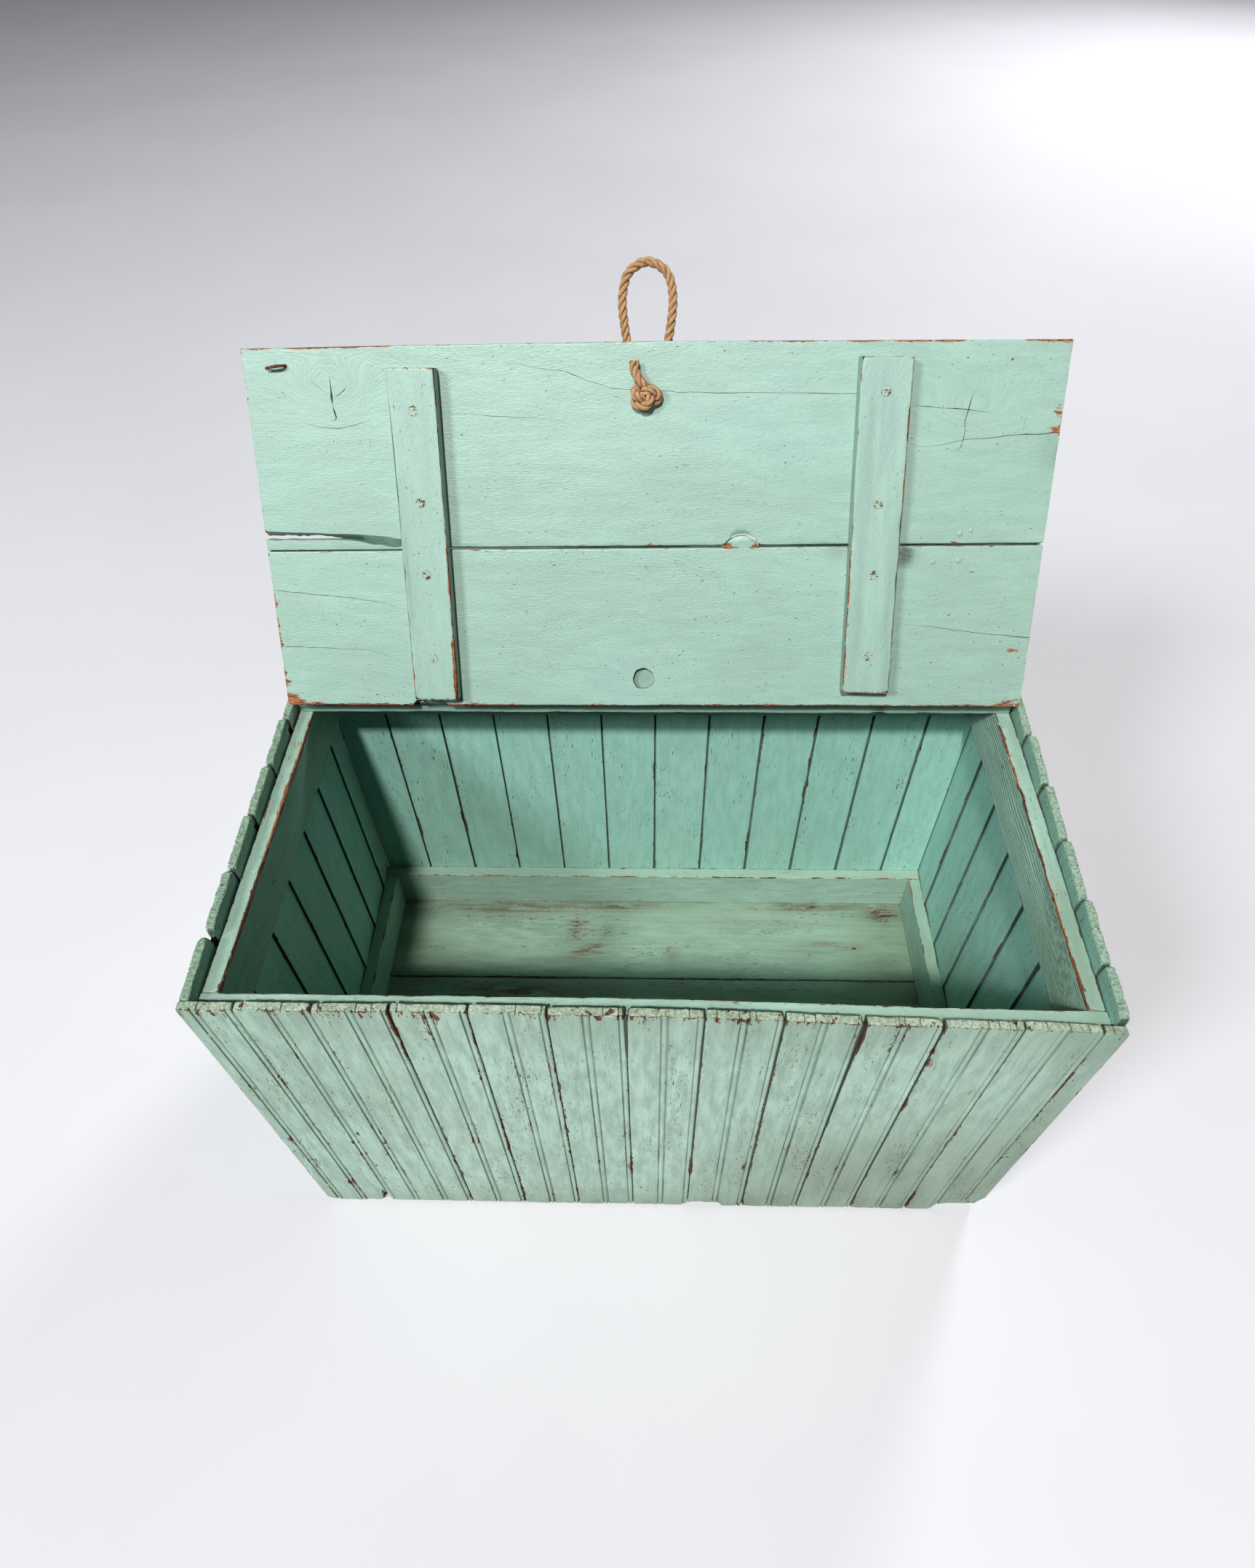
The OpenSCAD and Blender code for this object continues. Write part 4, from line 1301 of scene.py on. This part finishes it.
# Long checks in the lid's inner face: (across, distance from the hinge edge) along each
CHECKS_REAR = [
    [(-539, 165, 0.5), (-520, 164, 1.2), (-440, 156, 1.0), (-380, 149, 0.9), (-343, 139, 0.2)],
    [(-522, 86, 1.0), (-450, 83, 0.9), (-397, 80.6, 0.7), (-343, 62.6, 0.2)],
    [(335, 120, 0.2), (400, 112, 0.8), (470, 103, 0.9), (522, 100, 1.2)],
    [(-180, 56, 0.2), (-120, 54, 0.5), (-60, 55, 0.2)],
    [(326, 214.6, 0.5), (340, 210.6, 0.8), (352, 206.6, 0.3)],
]
CHECKS_FRONT = [
    [(-272, 392, 0.2), (-200, 386, 0.7), (-106, 381, 0.2)],
    [(-186, 447, 0.2), (-112, 438, 0.7), (-53, 419, 0.8), (60, 413, 0.9), (261, 411, 0.8)],
    [(340, 395, 1.0), (372, 393, 0.9), (402, 391, 1.2), (430, 388, 0.4)],
    [(322, 353, 0.2), (345, 347, 0.5), (373, 349, 0.7), (400, 355, 0.7), (430, 356, 0.9),
     (455, 360, 1.0), (522, 363, 1.3)],
    [(406, 414, 0.3), (403, 400, 1.1), (402, 391, 1.7), (399, 376, 1.3), (400, 365, 1.1),
     (396, 347, 0.9), (389, 341, 0.3)],
    [(474, 392, 0.2), (473, 375, 0.6), (471, 358, 0.2)],
    [(-413, 435, 0.5), (-412.5, 428, 1.9), (-412, 420, 1.1), (-412, 411, 3.4), (-411.5, 403, 1.0),
     (-411, 398, 0.9), (-410.5, 394, 1.9), (-409.4, 386, 1.7), (-411, 383.4, 0.9), (-415, 383, 0.4)],
    [(-409, 410.5, 0.4), (-403, 413.5, 1.3), (-393.5, 420.4, 0.9)],
    [(-416, 414, 0.3), (-428, 423, 0.5), (-441, 432, 0.2)],
    [(-449, 379, 0.3), (-432, 374, 0.7), (-409, 372, 0.8), (-385, 376, 0.7), (-364, 383, 0.3)],
]


def cutter(points, faces):
    """A closed mesh from points in millimetres, its faces turned to look outwards."""
    mesh = bpy.data.meshes.new("cutter")
    mesh.from_pydata((np.asarray(points) * MM).tolist(), [], faces)
    bm = bmesh.new()
    bm.from_mesh(mesh)
    bmesh.ops.recalc_face_normals(bm, faces=bm.faces)
    bm.to_mesh(mesh)
    bm.free()
    return mesh


def loft(levels):
    """A cutter through rings of points that all have the same number of points."""
    n, last = len(levels[0]), len(levels) - 1
    faces = [list(range(n)), list(range(n * last, n * (last + 1)))]
    for k, j in itertools.product(range(last), range(n)):
        m = (j + 1) % n
        faces.append([k * n + j, k * n + m, (k + 1) * n + m, (k + 1) * n + j])
    return cutter(np.concatenate(levels), faces)


def at_depth(outline, depth):
    """An outline in the lid's plane as a ring of points at a depth."""
    outline = np.array(outline, float)
    return np.c_[outline, np.full(len(outline), depth)]


def prism(outline, low, high):
    """A cutter: an outline in the lid's plane between two depths."""
    return loft([at_depth(outline, low), at_depth(outline, high)])


def circle(x, v, radius, sides):
    """Points round a circle, or round a wavy one where the radius is given for each point."""
    turn = np.linspace(0, 2 * math.pi, sides, endpoint=False)
    return np.stack([x + radius * np.cos(turn), v + radius * np.sin(turn)], -1)


def disc(x, v, r, flare, high, seed, low=-2, sides=40):
    """A round cutter from depth low to high, wider by flare at the surface."""
    turn = np.linspace(0, 2 * math.pi, sides, endpoint=False)
    wob = 1 + 0.03 * np.sin(3 * turn + seed) + 0.02 * np.sin(7 * turn + 2 * seed)
    rings = [(low, r + flare + 0.6), (0.0, r + flare), (flare, r), (high, r * 0.985)]
    return loft([at_depth(circle(x, v, reach * wob, sides), depth) for depth, reach in rings])


def check_cutter(line, deep=3.0, seed=0):
    """A cutter for a thin drying crack along (across, from hinge edge, width) points."""
    raw = np.array(line, float)
    t = np.linspace(0, len(raw) - 1, 9 * (len(raw) - 1) + 1)
    c = np.stack([np.interp(t, np.arange(len(raw)), raw[:, k]) for k in range(3)], -1)
    wiggle = noise(np.c_[c[:, :2], np.full(len(c), seed * 9.0)], (16, 16, 1), seed)
    along = np.gradient(c[:, :2], axis=0)
    along /= np.maximum(np.linalg.norm(along, axis=1, keepdims=True), 1e-9)
    side = np.stack([-along[:, 1], along[:, 0]], -1)
    middle = c[:, :2] + side * wiggle[:, None] * 1.1
    half = c[:, 2:] / 2 * (0.8 + 0.35 * noise(np.c_[c[:, :2], c[:, 2]], (7, 7, 1), seed + 1))[:, None]
    half = np.maximum(half, 0.09)
    low = -1.5 * np.ones(len(c))
    a = np.c_[middle + side * half * 1.6, low]
    b = np.c_[middle - side * half * 1.6, low]
    d = np.c_[middle, deep * np.clip(0.35 + 0.65 * half[:, 0] / 0.5, 0, 1.2)]
    n = len(c)
    faces = [[0, n, 2 * n], [n - 1, 3 * n - 1, 2 * n - 1]]
    for k in range(n - 1):
        faces += [[k, k + 1, n + k + 1, n + k], [n + k, n + k + 1, 2 * n + k + 1, 2 * n + k],
                  [2 * n + k, 2 * n + k + 1, k + 1, k]]
    return cutter(np.concatenate([a, b, d]), faces)


def pockets(y, z):
    """Cutters for the two hinges' barrels, round an axis at y and z."""
    ring = circle(y, z, POCKET_R, 28)
    made = []
    for side in (-1, 1):
        middle = side * HINGE_X
        ends = (middle - HINGE_LEN / 2 - 4, middle + HINGE_LEN / 2 + 4)
        made.append(loft([np.c_[np.full(28, x), ring] for x in ends]))
    return made


LID_STEPS = (9.0, 7.0, 4.5)
LID_SPOTS = [
    ((-514, 12, 0), (8, 7, 20), 1.5), ((-512, 2, 0), (16, 6, 20), 1.5),
    ((-519, 33, 0), (6, 6, 12), 1.2), ((-519, 50, 0), (4, 6, 12), 1.1),
    ((-520, 92, 0), (6, 9, 12), 1.1), ((-520, 118, 0), (5, 6, 12), 1.0),
    ((-520, 150, 0), (4, 8, 12), 1.0), ((-520, 240, 0), (9, 5, 12), 1.0),
    ((-300, 0, 0), (190, 3, 6), 0.6), ((250, 0, 0), (60, 2.5, 6), 0.5),
    ((499, 81, 0), (9, 4, 8), 1.1), ((493, 106, 0), (5, 6, 8), 0.9), ((484, 62, 0), (6, 4, 8), 1.0),
    ((483, 160, 0), (4, 4, 8), 1.0), ((481, 147, 0), (3, 4, 8), 0.9), ((405, 129, 0), (5, 5, 8), 1.0),
    ((509, 414, 0), (4, 4, 8), 1.0), ((515, 387, 0), (4, 4, 9), 1.0), ((509, 364, 0), (7, 3, 8), 0.95),
    ((507, 3, 0), (22, 7, 20), 1.5), ((-145, 407, 0), (4, 3, 8), 0.5),
    ((72, 191, 0), (6, 4, 8), 0.55), ((46, 166, 0), (5, 3, 8), 0.5), ((4, 95, 0), (4, 3, 8), 0.5),
    ((354, 20, 0), (6, 3, 8), 0.5), ((510, 395, 0), (6, 6, 10), 0.8), ((517, 368, 0), (6, 5, 9), 0.7),
    ((-505, 470, 0), (40, 5, 9), 0.4), ((150, 470, 0), (60, 4, 9), 0.3),
    ((-100, 470, 0), (80, 4, 9), 0.35), ((430, 100, 0), (20, 7, 8), 0.25),
    ((101, 227, 4), (6, 4, 9), 0.95), ((140, 227, 4), (6, 4, 9), 1.0), ((121, 239, 4), (4, 3, 8), 0.5),
]


def lid_rub(p):
    """Where the lid's long edges have worn to the wood."""
    patchy = smooth(noise(p, (70, 30, 30), 212), -0.35, 0.35)
    low = np.clip(1.1 - p[:, 1] / 4.0, 0, 1)
    high = np.clip(1.2 - (LID_D - p[:, 1]) / 4.5, 0, 1)
    high = high * np.maximum(smooth(-p[:, 0], 200, 330), smooth(p[:, 0], 80, 200))
    corner = 0.9 * smooth(p[:, 0], 440, 515) * np.clip(1.2 - (LID_D - p[:, 1]) / 6, 0, 1)
    return (p[:, 2] < 5) * (patchy * (low + 1.15 * high) + corner)


def lid_grime(p):
    """Smudges where hands and the battens have marked the lid's inner face."""
    dark = spots(p, [((250, 218, 0), (16, 12, 30), 0.9), ((341, 212, 0), (11, 12, 30), 2.2),
                     ((514, 340, 0), (20, 26, 30), 0.5), ((430, 235, 0), (40, 5, 20), 0.3)])
    return 0.02 + 0.14 * noise(p, (130, 60, 60), 81) + dark


# Where the planks' edges really run, across the lid: places, then distances from the hinge edge
STRAIN_X = (-520, -345, -290, 0, 520)
REAR_EDGE = (216.8, 217.6, 218.9, 220.3, 223.4)
FRONT_EDGE = (217.6, 218.4, 221.6, 222.9, 225.9)
FRONT_CROWN = (0.0, 2.6, 3.2, 5.5, 4.0)


def lid_strain(p, front):
    """Lid places moved as the planks have shrunk, bowed and spread since they were cut."""
    q = p.copy()
    if front:
        hold = smooth(-p[:, 1], -231, -228.6)
        q[:, 1] += hold * (np.interp(p[:, 0], STRAIN_X, FRONT_EDGE) - FRONT_V)
        q[:, 1] += smooth(p[:, 1], 430, 466) * np.interp(p[:, 0], STRAIN_X, FRONT_CROWN)
    else:
        hold = smooth(p[:, 1], 204, 218)
        q[:, 1] += hold * (np.interp(p[:, 0], STRAIN_X, REAR_EDGE) - REAR_D)
    q[:, 0] -= 2.8 * smooth(-p[:, 0], 430, 520)
    return q


def lid_values(p, lo, hi, front, seed):
    """The paint's values for a lid plank's points, in lid places."""
    values = timber_values(p, lo, hi, 0, seed, spots(p, LID_SPOTS) + lid_rub(p), lid_grime(p),
                           groove_from=0.9, groove_to=2.2, wear=0.50, tone=0.4)
    # holes, the split, the scoop and the broken bit hold less dirt than their depth says
    groove = values["groove"]
    for x, v, r in (BLIND_HOLE[:3], ROPE_HOLE):
        groove = np.where(np.hypot(p[:, 0] - x, p[:, 1] - v) < r + 1.6, 0.25 * groove, groove)
    if front:
        fresh = (p[:, 0] < SPLIT_TIP) & (np.abs(p[:, 1] - 236) < 9)
        groove = np.where(fresh, 0.10 * groove, groove)
    scoop = np.hypot(p[:, 0] - SCOOP_X, p[:, 1] - FRONT_V) < SCOOP_R + 5
    groove = np.where(scoop, groove * smooth(p[:, 2], 9, 14), groove)
    broken = (p[:, 1] < 12) & (p[:, 0] > -345) & (p[:, 0] < -287)
    groove = np.where(broken, 0.5 * groove, groove)
    # a dark knot half under the right batten
    x, v, half_x, half_v = DARK_KNOT
    away = np.hypot((p[:, 0] - x) / half_x, (p[:, 1] - v) / half_v) + 0.14 * noise(p, (9, 9, 9), 213)
    knot = 0.50 * smooth(-away, -1.0, -0.8) * (0.8 + 0.4 * noise(p, (4, 7, 9), 214))
    values["groove"] = np.maximum(groove, knot * (p[:, 2] < 3))
    x, v, r, deep = BLIND_HOLE
    darkening = spots(p, [((x - 1, v - 6, deep), (8, 5, 9), 1.5)])
    inside = np.hypot(p[:, 0] - x, p[:, 1] - v) < r + 0.8
    values["bare"] = np.where(inside, darkening, values["bare"])
    for x, v, height in LID_KNOTS:
        d2 = ((p[:, 0] - x) / 46) ** 2 + ((p[:, 1] - v) / 27) ** 2
        values["wood"][:, 1] += height * MM * np.exp(-d2)
    return values


def lid_plank(node, v0, v1, seed, cutters, material, raised):
    """One of the lid's planks, with its holes and cracks cut and what stands out of it added."""
    front = v0 > 0
    lo, hi = np.array([-LID_W / 2, v0, 0.0]), np.array([LID_W / 2, v1, LID_T])
    points, faces, _ = timber(lo, hi, seed, LID_STEPS, arris=1.3, bite=1.9, uneven=0.35, grain=0)
    if front:
        points[:, 1] -= 2.3 * smooth(points[:, 2], 5, 9) * (points[:, 1] < v0 + 4)
    name = node + "_worn"
    mesh = cut(mesh_from(name, points, faces), cutters)
    for shell in raised:
        add_shell(mesh, *shell)
    p = read_points(mesh)
    values = lid_values(p, lo, hi, front, seed)
    q = lid_strain(p, front)
    values["wood"][:, 1] += (q[:, 1] - p[:, 1]) * MM
    write_points(mesh, on_lid(q))
    mesh.flip_normals()  # lid places are a mirror image of the world
    set_values(mesh, values)
    show(name, mesh, material, "lid", [node])


def add_shell(mesh, points, faces):
    """Adds another closed shell to a mesh."""
    added = bpy.data.meshes.new("added")
    added.from_pydata((np.asarray(points) * MM).tolist(), [], np.asarray(faces).tolist())
    bm = bmesh.new()
    bm.from_mesh(mesh)
    bm.from_mesh(added)
    bm.to_mesh(mesh)
    bm.free()
    bpy.data.meshes.remove(added)


def mound():
    """The knot of wood that stands out of the rear plank's edge and fills most of the scoop."""
    xs, vs = np.linspace(-23, 23, 25), np.linspace(0, 1, 9)
    ts = np.array([0.0, 1.0, 2.5, 6.0, 11.0, 15.0])
    p, faces = grid_box(xs, vs, ts)
    rise = 15.4 * np.clip(1 - (p[:, 0] / 23) ** 2, 0, 1) ** 0.7
    rise *= 1 + 0.06 * noise(p, (5, 9, 9), 91)
    q = p.copy()
    q[:, 0] += SCOOP_X
    q[:, 1] = REAR_D - 3 + p[:, 1] * (rise + 3 - 0.5 * np.abs(p[:, 2] - 6) / 6)
    bulge = 1.6 * (1 - np.clip(np.abs(p[:, 0]) / 23, 0, 1) ** 2) * p[:, 1]
    q[:, 2] += 1.3 + (2.2 * smooth(p[:, 1], 0.72, 1.0) - bulge) * (p[:, 2] < 3)
    return q, faces


def nail_head(x, v, r):
    """A domed nail head standing out of the lid's inner face, painted over with it."""
    side = np.linspace(-1, 1, 11)
    p, faces = grid_box(side, side, np.array([0.0, 1.0]))
    out = np.maximum(np.abs(p[:, 0]), np.abs(p[:, 1]))
    turn = np.arctan2(p[:, 1], p[:, 0])
    rise = 0.25 + 0.95 * np.sqrt(np.clip(1 - out**2, 0, 1))
    q = np.stack([x + r * out * np.cos(turn), v + r * out * np.sin(turn),
                  np.where(p[:, 2] < 0.5, -rise, 0.8)], -1)
    return q, faces


def scoop_cutters():
    """The half-round scoop in the front plank's edge and the way through it for the mound."""
    rings = [(-2.0, SCOOP_R + 1.5), (0.0, SCOOP_R), (2.0, SCOOP_R - 3.2), (5.0, SCOOP_R - 7.0),
             (8.5, SCOOP_R - 11.5), (10.5, 2.0)]
    bowl = loft([at_depth(circle(SCOOP_X, FRONT_V - 1, reach, 36), depth) for depth, reach in rings])
    half = 25.5
    xs = np.linspace(-half, half, 25)
    arc = [(SCOOP_X + x, FRONT_V - 2.7 + 14.3 * max(0, 1 - (x / half) ** 2) ** 0.8) for x in xs]
    outline = [(SCOOP_X - half, FRONT_V - 4), *arc[1:-1], (SCOOP_X + half, FRONT_V - 4)]
    return [bowl, prism(outline, -2, LID_T + 2)]


def split_cutter():
    """The wedge where the front plank has split in from its left end, closing through the plank."""
    xs = np.linspace(-LID_W / 2 - 12, SPLIT_TIP, 44)
    line = np.c_[xs, np.zeros(44), np.zeros(44)]
    low = np.interp(xs, SPLIT_X, SPLIT_LOW) + 0.5 * noise(line, (14, 1, 1), 95)
    high = np.interp(xs, SPLIT_X, SPLIT_HIGH) + 0.5 * noise(line, (18, 1, 1), 96)
    back = np.interp(xs, SPLIT_X, SPLIT_DEEP)
    deep_high = low + back * (1 - 0.35 * np.abs(noise(line, (6, 1, 1), 97)))
    face = [*zip(xs, low), *zip(xs[::-1], high[::-1])]
    deep = [*zip(xs, low), *zip(xs[::-1], deep_high[::-1])]
    levels = [(face, -2), (face, 0.2), (deep, 15), (deep, LID_T + 2)]
    return loft([at_depth(outline, depth) for outline, depth in levels])


def make_lid(material):
    """The two lid planks and their battens."""
    x, v, r, deep = BLIND_HOLE
    barrels = pockets(-JOINT_HALF, LID_T + PIN_RISE)
    rear = [disc(x, v, r, 0.7, deep, seed=2), prism(BROKEN, -2, 15), *barrels]
    rear += [check_cutter(c, seed=k) for k, c in enumerate(CHECKS_REAR)]
    raised = [mound(), *(nail_head(*n) for n in NAIL_HEADS if n[1] < REAR_D)]
    lid_plank("lid_rear_plank", 0.0, REAR_D, 71, rear, material, raised)
    x, v, r = ROPE_HOLE
    front = [disc(x, v, r, 0.8, LID_T + 3, seed=4), *scoop_cutters(), split_cutter()]
    front += [check_cutter(c, seed=20 + k) for k, c in enumerate(CHECKS_FRONT)]
    raised = [nail_head(*n) for n in NAIL_HEADS if n[1] > REAR_D]
    lid_plank("lid_front_plank", FRONT_V, LID_D, 72, front, material, raised)
    for k, b in enumerate(BATTENS):
        make_batten(*b, 75 + k, material)


def batten_rub(p, lo, hi, left):
    """Where one long arris of each batten has been rubbed to the wood."""
    below = p[:, 2] - lo[2]
    if left:
        side = np.clip(1.25 - (hi[0] - p[:, 0]) / 5.5, 0, 1) * np.clip(1.2 - below / 6, 0, 1)
        return 1.2 * side * smooth(-p[:, 1], -260, -60) * smooth(noise(p, (30, 60, 30), 88), -0.5, 0.3)
    upper = np.clip(1.1 - (hi[0] - p[:, 0]) / 4, 0, 1) * smooth(p[:, 1], 200, 300)
    lower = np.clip(1.1 - (p[:, 0] - lo[0]) / 4, 0, 1) * smooth(-p[:, 1], -240, -120)
    patchy = smooth(noise(p, (30, 44, 30), 89), -0.1, 0.4) * np.clip(1.1 - below / 4, 0, 1)
    return 0.9 * patchy * (upper + lower)


def make_batten(node, mid, back, turn, w, long, seed, material):
    """One batten, its arrises rubbed to the wood, in lid places."""
    left = node == "left_batten"
    lo, hi = np.array([-w / 2, 0.0, -BATTEN_T]), np.array([w / 2, long, 0.0])
    worn = [("x1", "z0", 2.4 if left else 1.0), ("x0", "z0", 0.8), ("y0", "z0", 1.4),
            ("y1", "z0", 1.0)]
    p, faces, _ = timber(lo, hi, seed, (5.0, 8.0, 5.0), arris=1.3, bite=2.0, uneven=0.35, worn=worn,
                         grain=1)
    near = nearness(p, lo, hi, 6.0)
    share = 0.4 + 0.8 * smooth(-p[:, 1], -260, -60)
    bare = 0.9 * near["y0"] * near["z0"] * (near["x1"] + near["x0"])
    for a, c, size in worn:
        bare = bare + 0.25 * size * near[a] * near[c] * share
    thin = np.clip(1.1 - (p[:, 2] - lo[2]) / 2.5, 0, 1) * arris_wear(p, lo, hi, 2.2)
    bare = bare + 0.55 * thin * smooth(noise(p, (30, 50, 30), seed + 7), -0.2, 0.4)
    bare = bare + batten_rub(p, lo, hi, left)
    grime_and_shade = 0.02 + 0.2 * noise(p, (40, 90, 40), seed)
    values = timber_values(p, lo, hi, 1, seed, bare, grime_and_shade, tone=0.0)
    a, along = math.radians(turn), p[:, 1] - long / 2
    q = p.copy()
    q[:, 0] = mid + p[:, 0] * math.cos(a) - along * math.sin(a)
    q[:, 1] = back + long / 2 + along * math.cos(a) - p[:, 0] * math.sin(a)
    mesh = mesh_from(node + "_worn", on_lid(q), faces)
    mesh.flip_normals()
    set_values(mesh, values)
    show(node + "_worn", mesh, material, "lid", [node])


def make_fixed_plank(material):
    """The plank behind the hinges, which stays on the case; its front edge is split away."""
    lo, hi = (np.array(c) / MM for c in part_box("back_plank"))
    p, faces, _ = timber(lo, hi, 79, LID_STEPS, arris=1.4, bite=2.4, uneven=0.35, grain=0)
    front = np.clip(1 - (p[:, 1] - lo[1]) / 14, 0, 1)
    ragged = 1.2 * np.clip(noise(p, (26, 90, 90), 97), 0, 1)
    ragged += 0.6 * np.clip(noise(p, (9, 90, 90), 98), 0, 1)
    bite = 7.0 * np.clip(1 - np.abs(p[:, 0] - 331) / 7, 0, 1)
    p[:, 1] += front * (ragged + bite)
    mesh = cut(mesh_from("back_plank_worn", p, faces), pockets(PIVOT[1], PIVOT[2]))
    q = read_points(mesh)
    bare = spots(q, [((331, 192, 670), (10, 8, 12), 0.7)])
    values = timber_values(q, lo, hi, 0, 79, bare, 0.2 + 0.2 * noise(q, (100, 60, 60), 99),
                           groove_from=2.5, groove_to=6.0)
    set_values(mesh, values)
    show("back_plank_worn", mesh, material, "case", ["back_plank"])


# ---------------------------------------------------------------- ironwork


def dress_ironwork():
    """Materials for the CAD nodes that stay as they are."""
    nails = iron("painted_nail", faded(WALL_GREEN, 0.82), WOOD_DARK, 0.70, patch_size=400.0)
    heads = iron("screw_head", linear(158, 172, 154), linear(92, 62, 48), 0.64, patch_size=210.0)
    screws = iron("hinge_screw", faded(MINT, 0.8), linear(104, 66, 44), 0.6)
    leaves = iron("hinge_leaf", faded(MINT, 0.85), linear(104, 62, 42), 0.66)
    pins = iron("hinge_pin", linear(112, 96, 84), linear(92, 58, 40), 0.55, 0.4, 0.6)
    dress = {"board_nails": nails, "batten_screws": heads, "plank_hinge_screws": screws,
             "lid_hinge_screws": screws}
    for side in ("left", "right"):
        dress[side + "_fixed_leaf"] = leaves
        dress[side + "_moving_leaf"] = leaves
        dress[side + "_hinge_pin"] = pins
    for node, material in dress.items():
        materials = frame["nodes"][node].data.materials
        materials.clear()
        materials.append(material)


# The bent nail's line on the lid: across, distance from the hinge edge, depth
NAIL_BEND = [(-467, 447.6, 4), (-467.5, 447.4, -2), (-470, 447.2, -7), (-476, 446.6, -9.4),
             (-483, 445.6, -8.6), (-490, 444.4, -5.4)]


def make_bent_nail():
    """The rusty nail hammered over near the lid's far left corner."""
    route = spline(on_lid(NAIL_BEND), np.linspace(0, len(NAIL_BEND) - 1, 120))
    line, at = even(route, 0.5)
    swell = 1 + 0.10 * np.sin(at / 2.3) + 0.06 * np.sin(at / 0.9)
    mesh = mesh_from("bent_nail_worn", *tube(line, 1.9 * swell, sides=14))
    rust = iron("rusty_nail", linear(84, 60, 52), linear(104, 68, 50), 0.50, 0.75)
    show("bent_nail_worn", mesh, rust, "lid", ["bent_nail"], sharp=60)


def make_stage():
    """The plain floor that the object stands on."""
    run = ticks([-20000, 20000], 4000)
    mesh = mesh_from("studio_floor", *grid_box(run, run, np.array([-20.0, 0.0])))
    floor = bpy.data.objects.new("studio_floor", mesh)
    mesh.materials.append(floor_material())
    bpy.context.scene.collection.objects.link(floor)


def build():
    """The whole scene: the camera and the rope first, then the boards, the floor and the lid."""
    make_camera()
    make_rope()
    make_light()
    make_stage()
    dark_browns = (WOOD_DARK, WOOD_BROWN, MAROON)
    wall = paint("wall_paint", WALL_GREEN, dark_browns, chips=1.25, grain=0.10, dashes=1.0,
                 fade=0.22, wave=0.4, pebbles=0.5, soil=JOINT_BROWN)
    inner = paint("inner_paint", INNER_GREEN, dark_browns, chips=0.6, grain=0.10, dashes=0.9,
                  dirt=0.8, brush=0.3, saw=0.13, wave=0.3, soil=JOINT_DARK,
                  ends=(SIDE_END_SHADE, SIDE_END_PALE))
    rails = paint("rail_paint", RAIL_MINT, (WOOD_DARK, WOOD_BROWN, WOOD_ORANGE), chips=0.5,
                  dashes=0.6, dirt=0.7, brush=0.6, wave=0.3, fade=0.12)
    planks = paint("plank_paint", PLANK_GREEN, (DULL_BROWN, DULL_TAN, DULL_BROWN), chips=1.1,
                   grain=0.12, dashes=1.0, fade=0.18, wave=0.35, stain=2.4)
    lid = paint("lid_paint", MINT, (WOOD_BROWN, WOOD_ORANGE, WOOD_ORANGE), chips=0.15,
                grain=0.05, dashes=0.45, dirt=0.7, fade=0.06, brush=0.06, ring_mm=2.4, saw=0.02,
                wave=0.07, pebbles=0.42, lines=0.22, mark=(190.0, 420.0, 420.0))
    make_wall("front", wall)
    make_wall("left", inner)
    make_wall("right", inner)
    make_back(inner)
    make_rails(rails)
    make_floor(planks)
    make_lid(lid)
    make_fixed_plank(lid)
    make_bent_nail()
    dress_ironwork()


build()
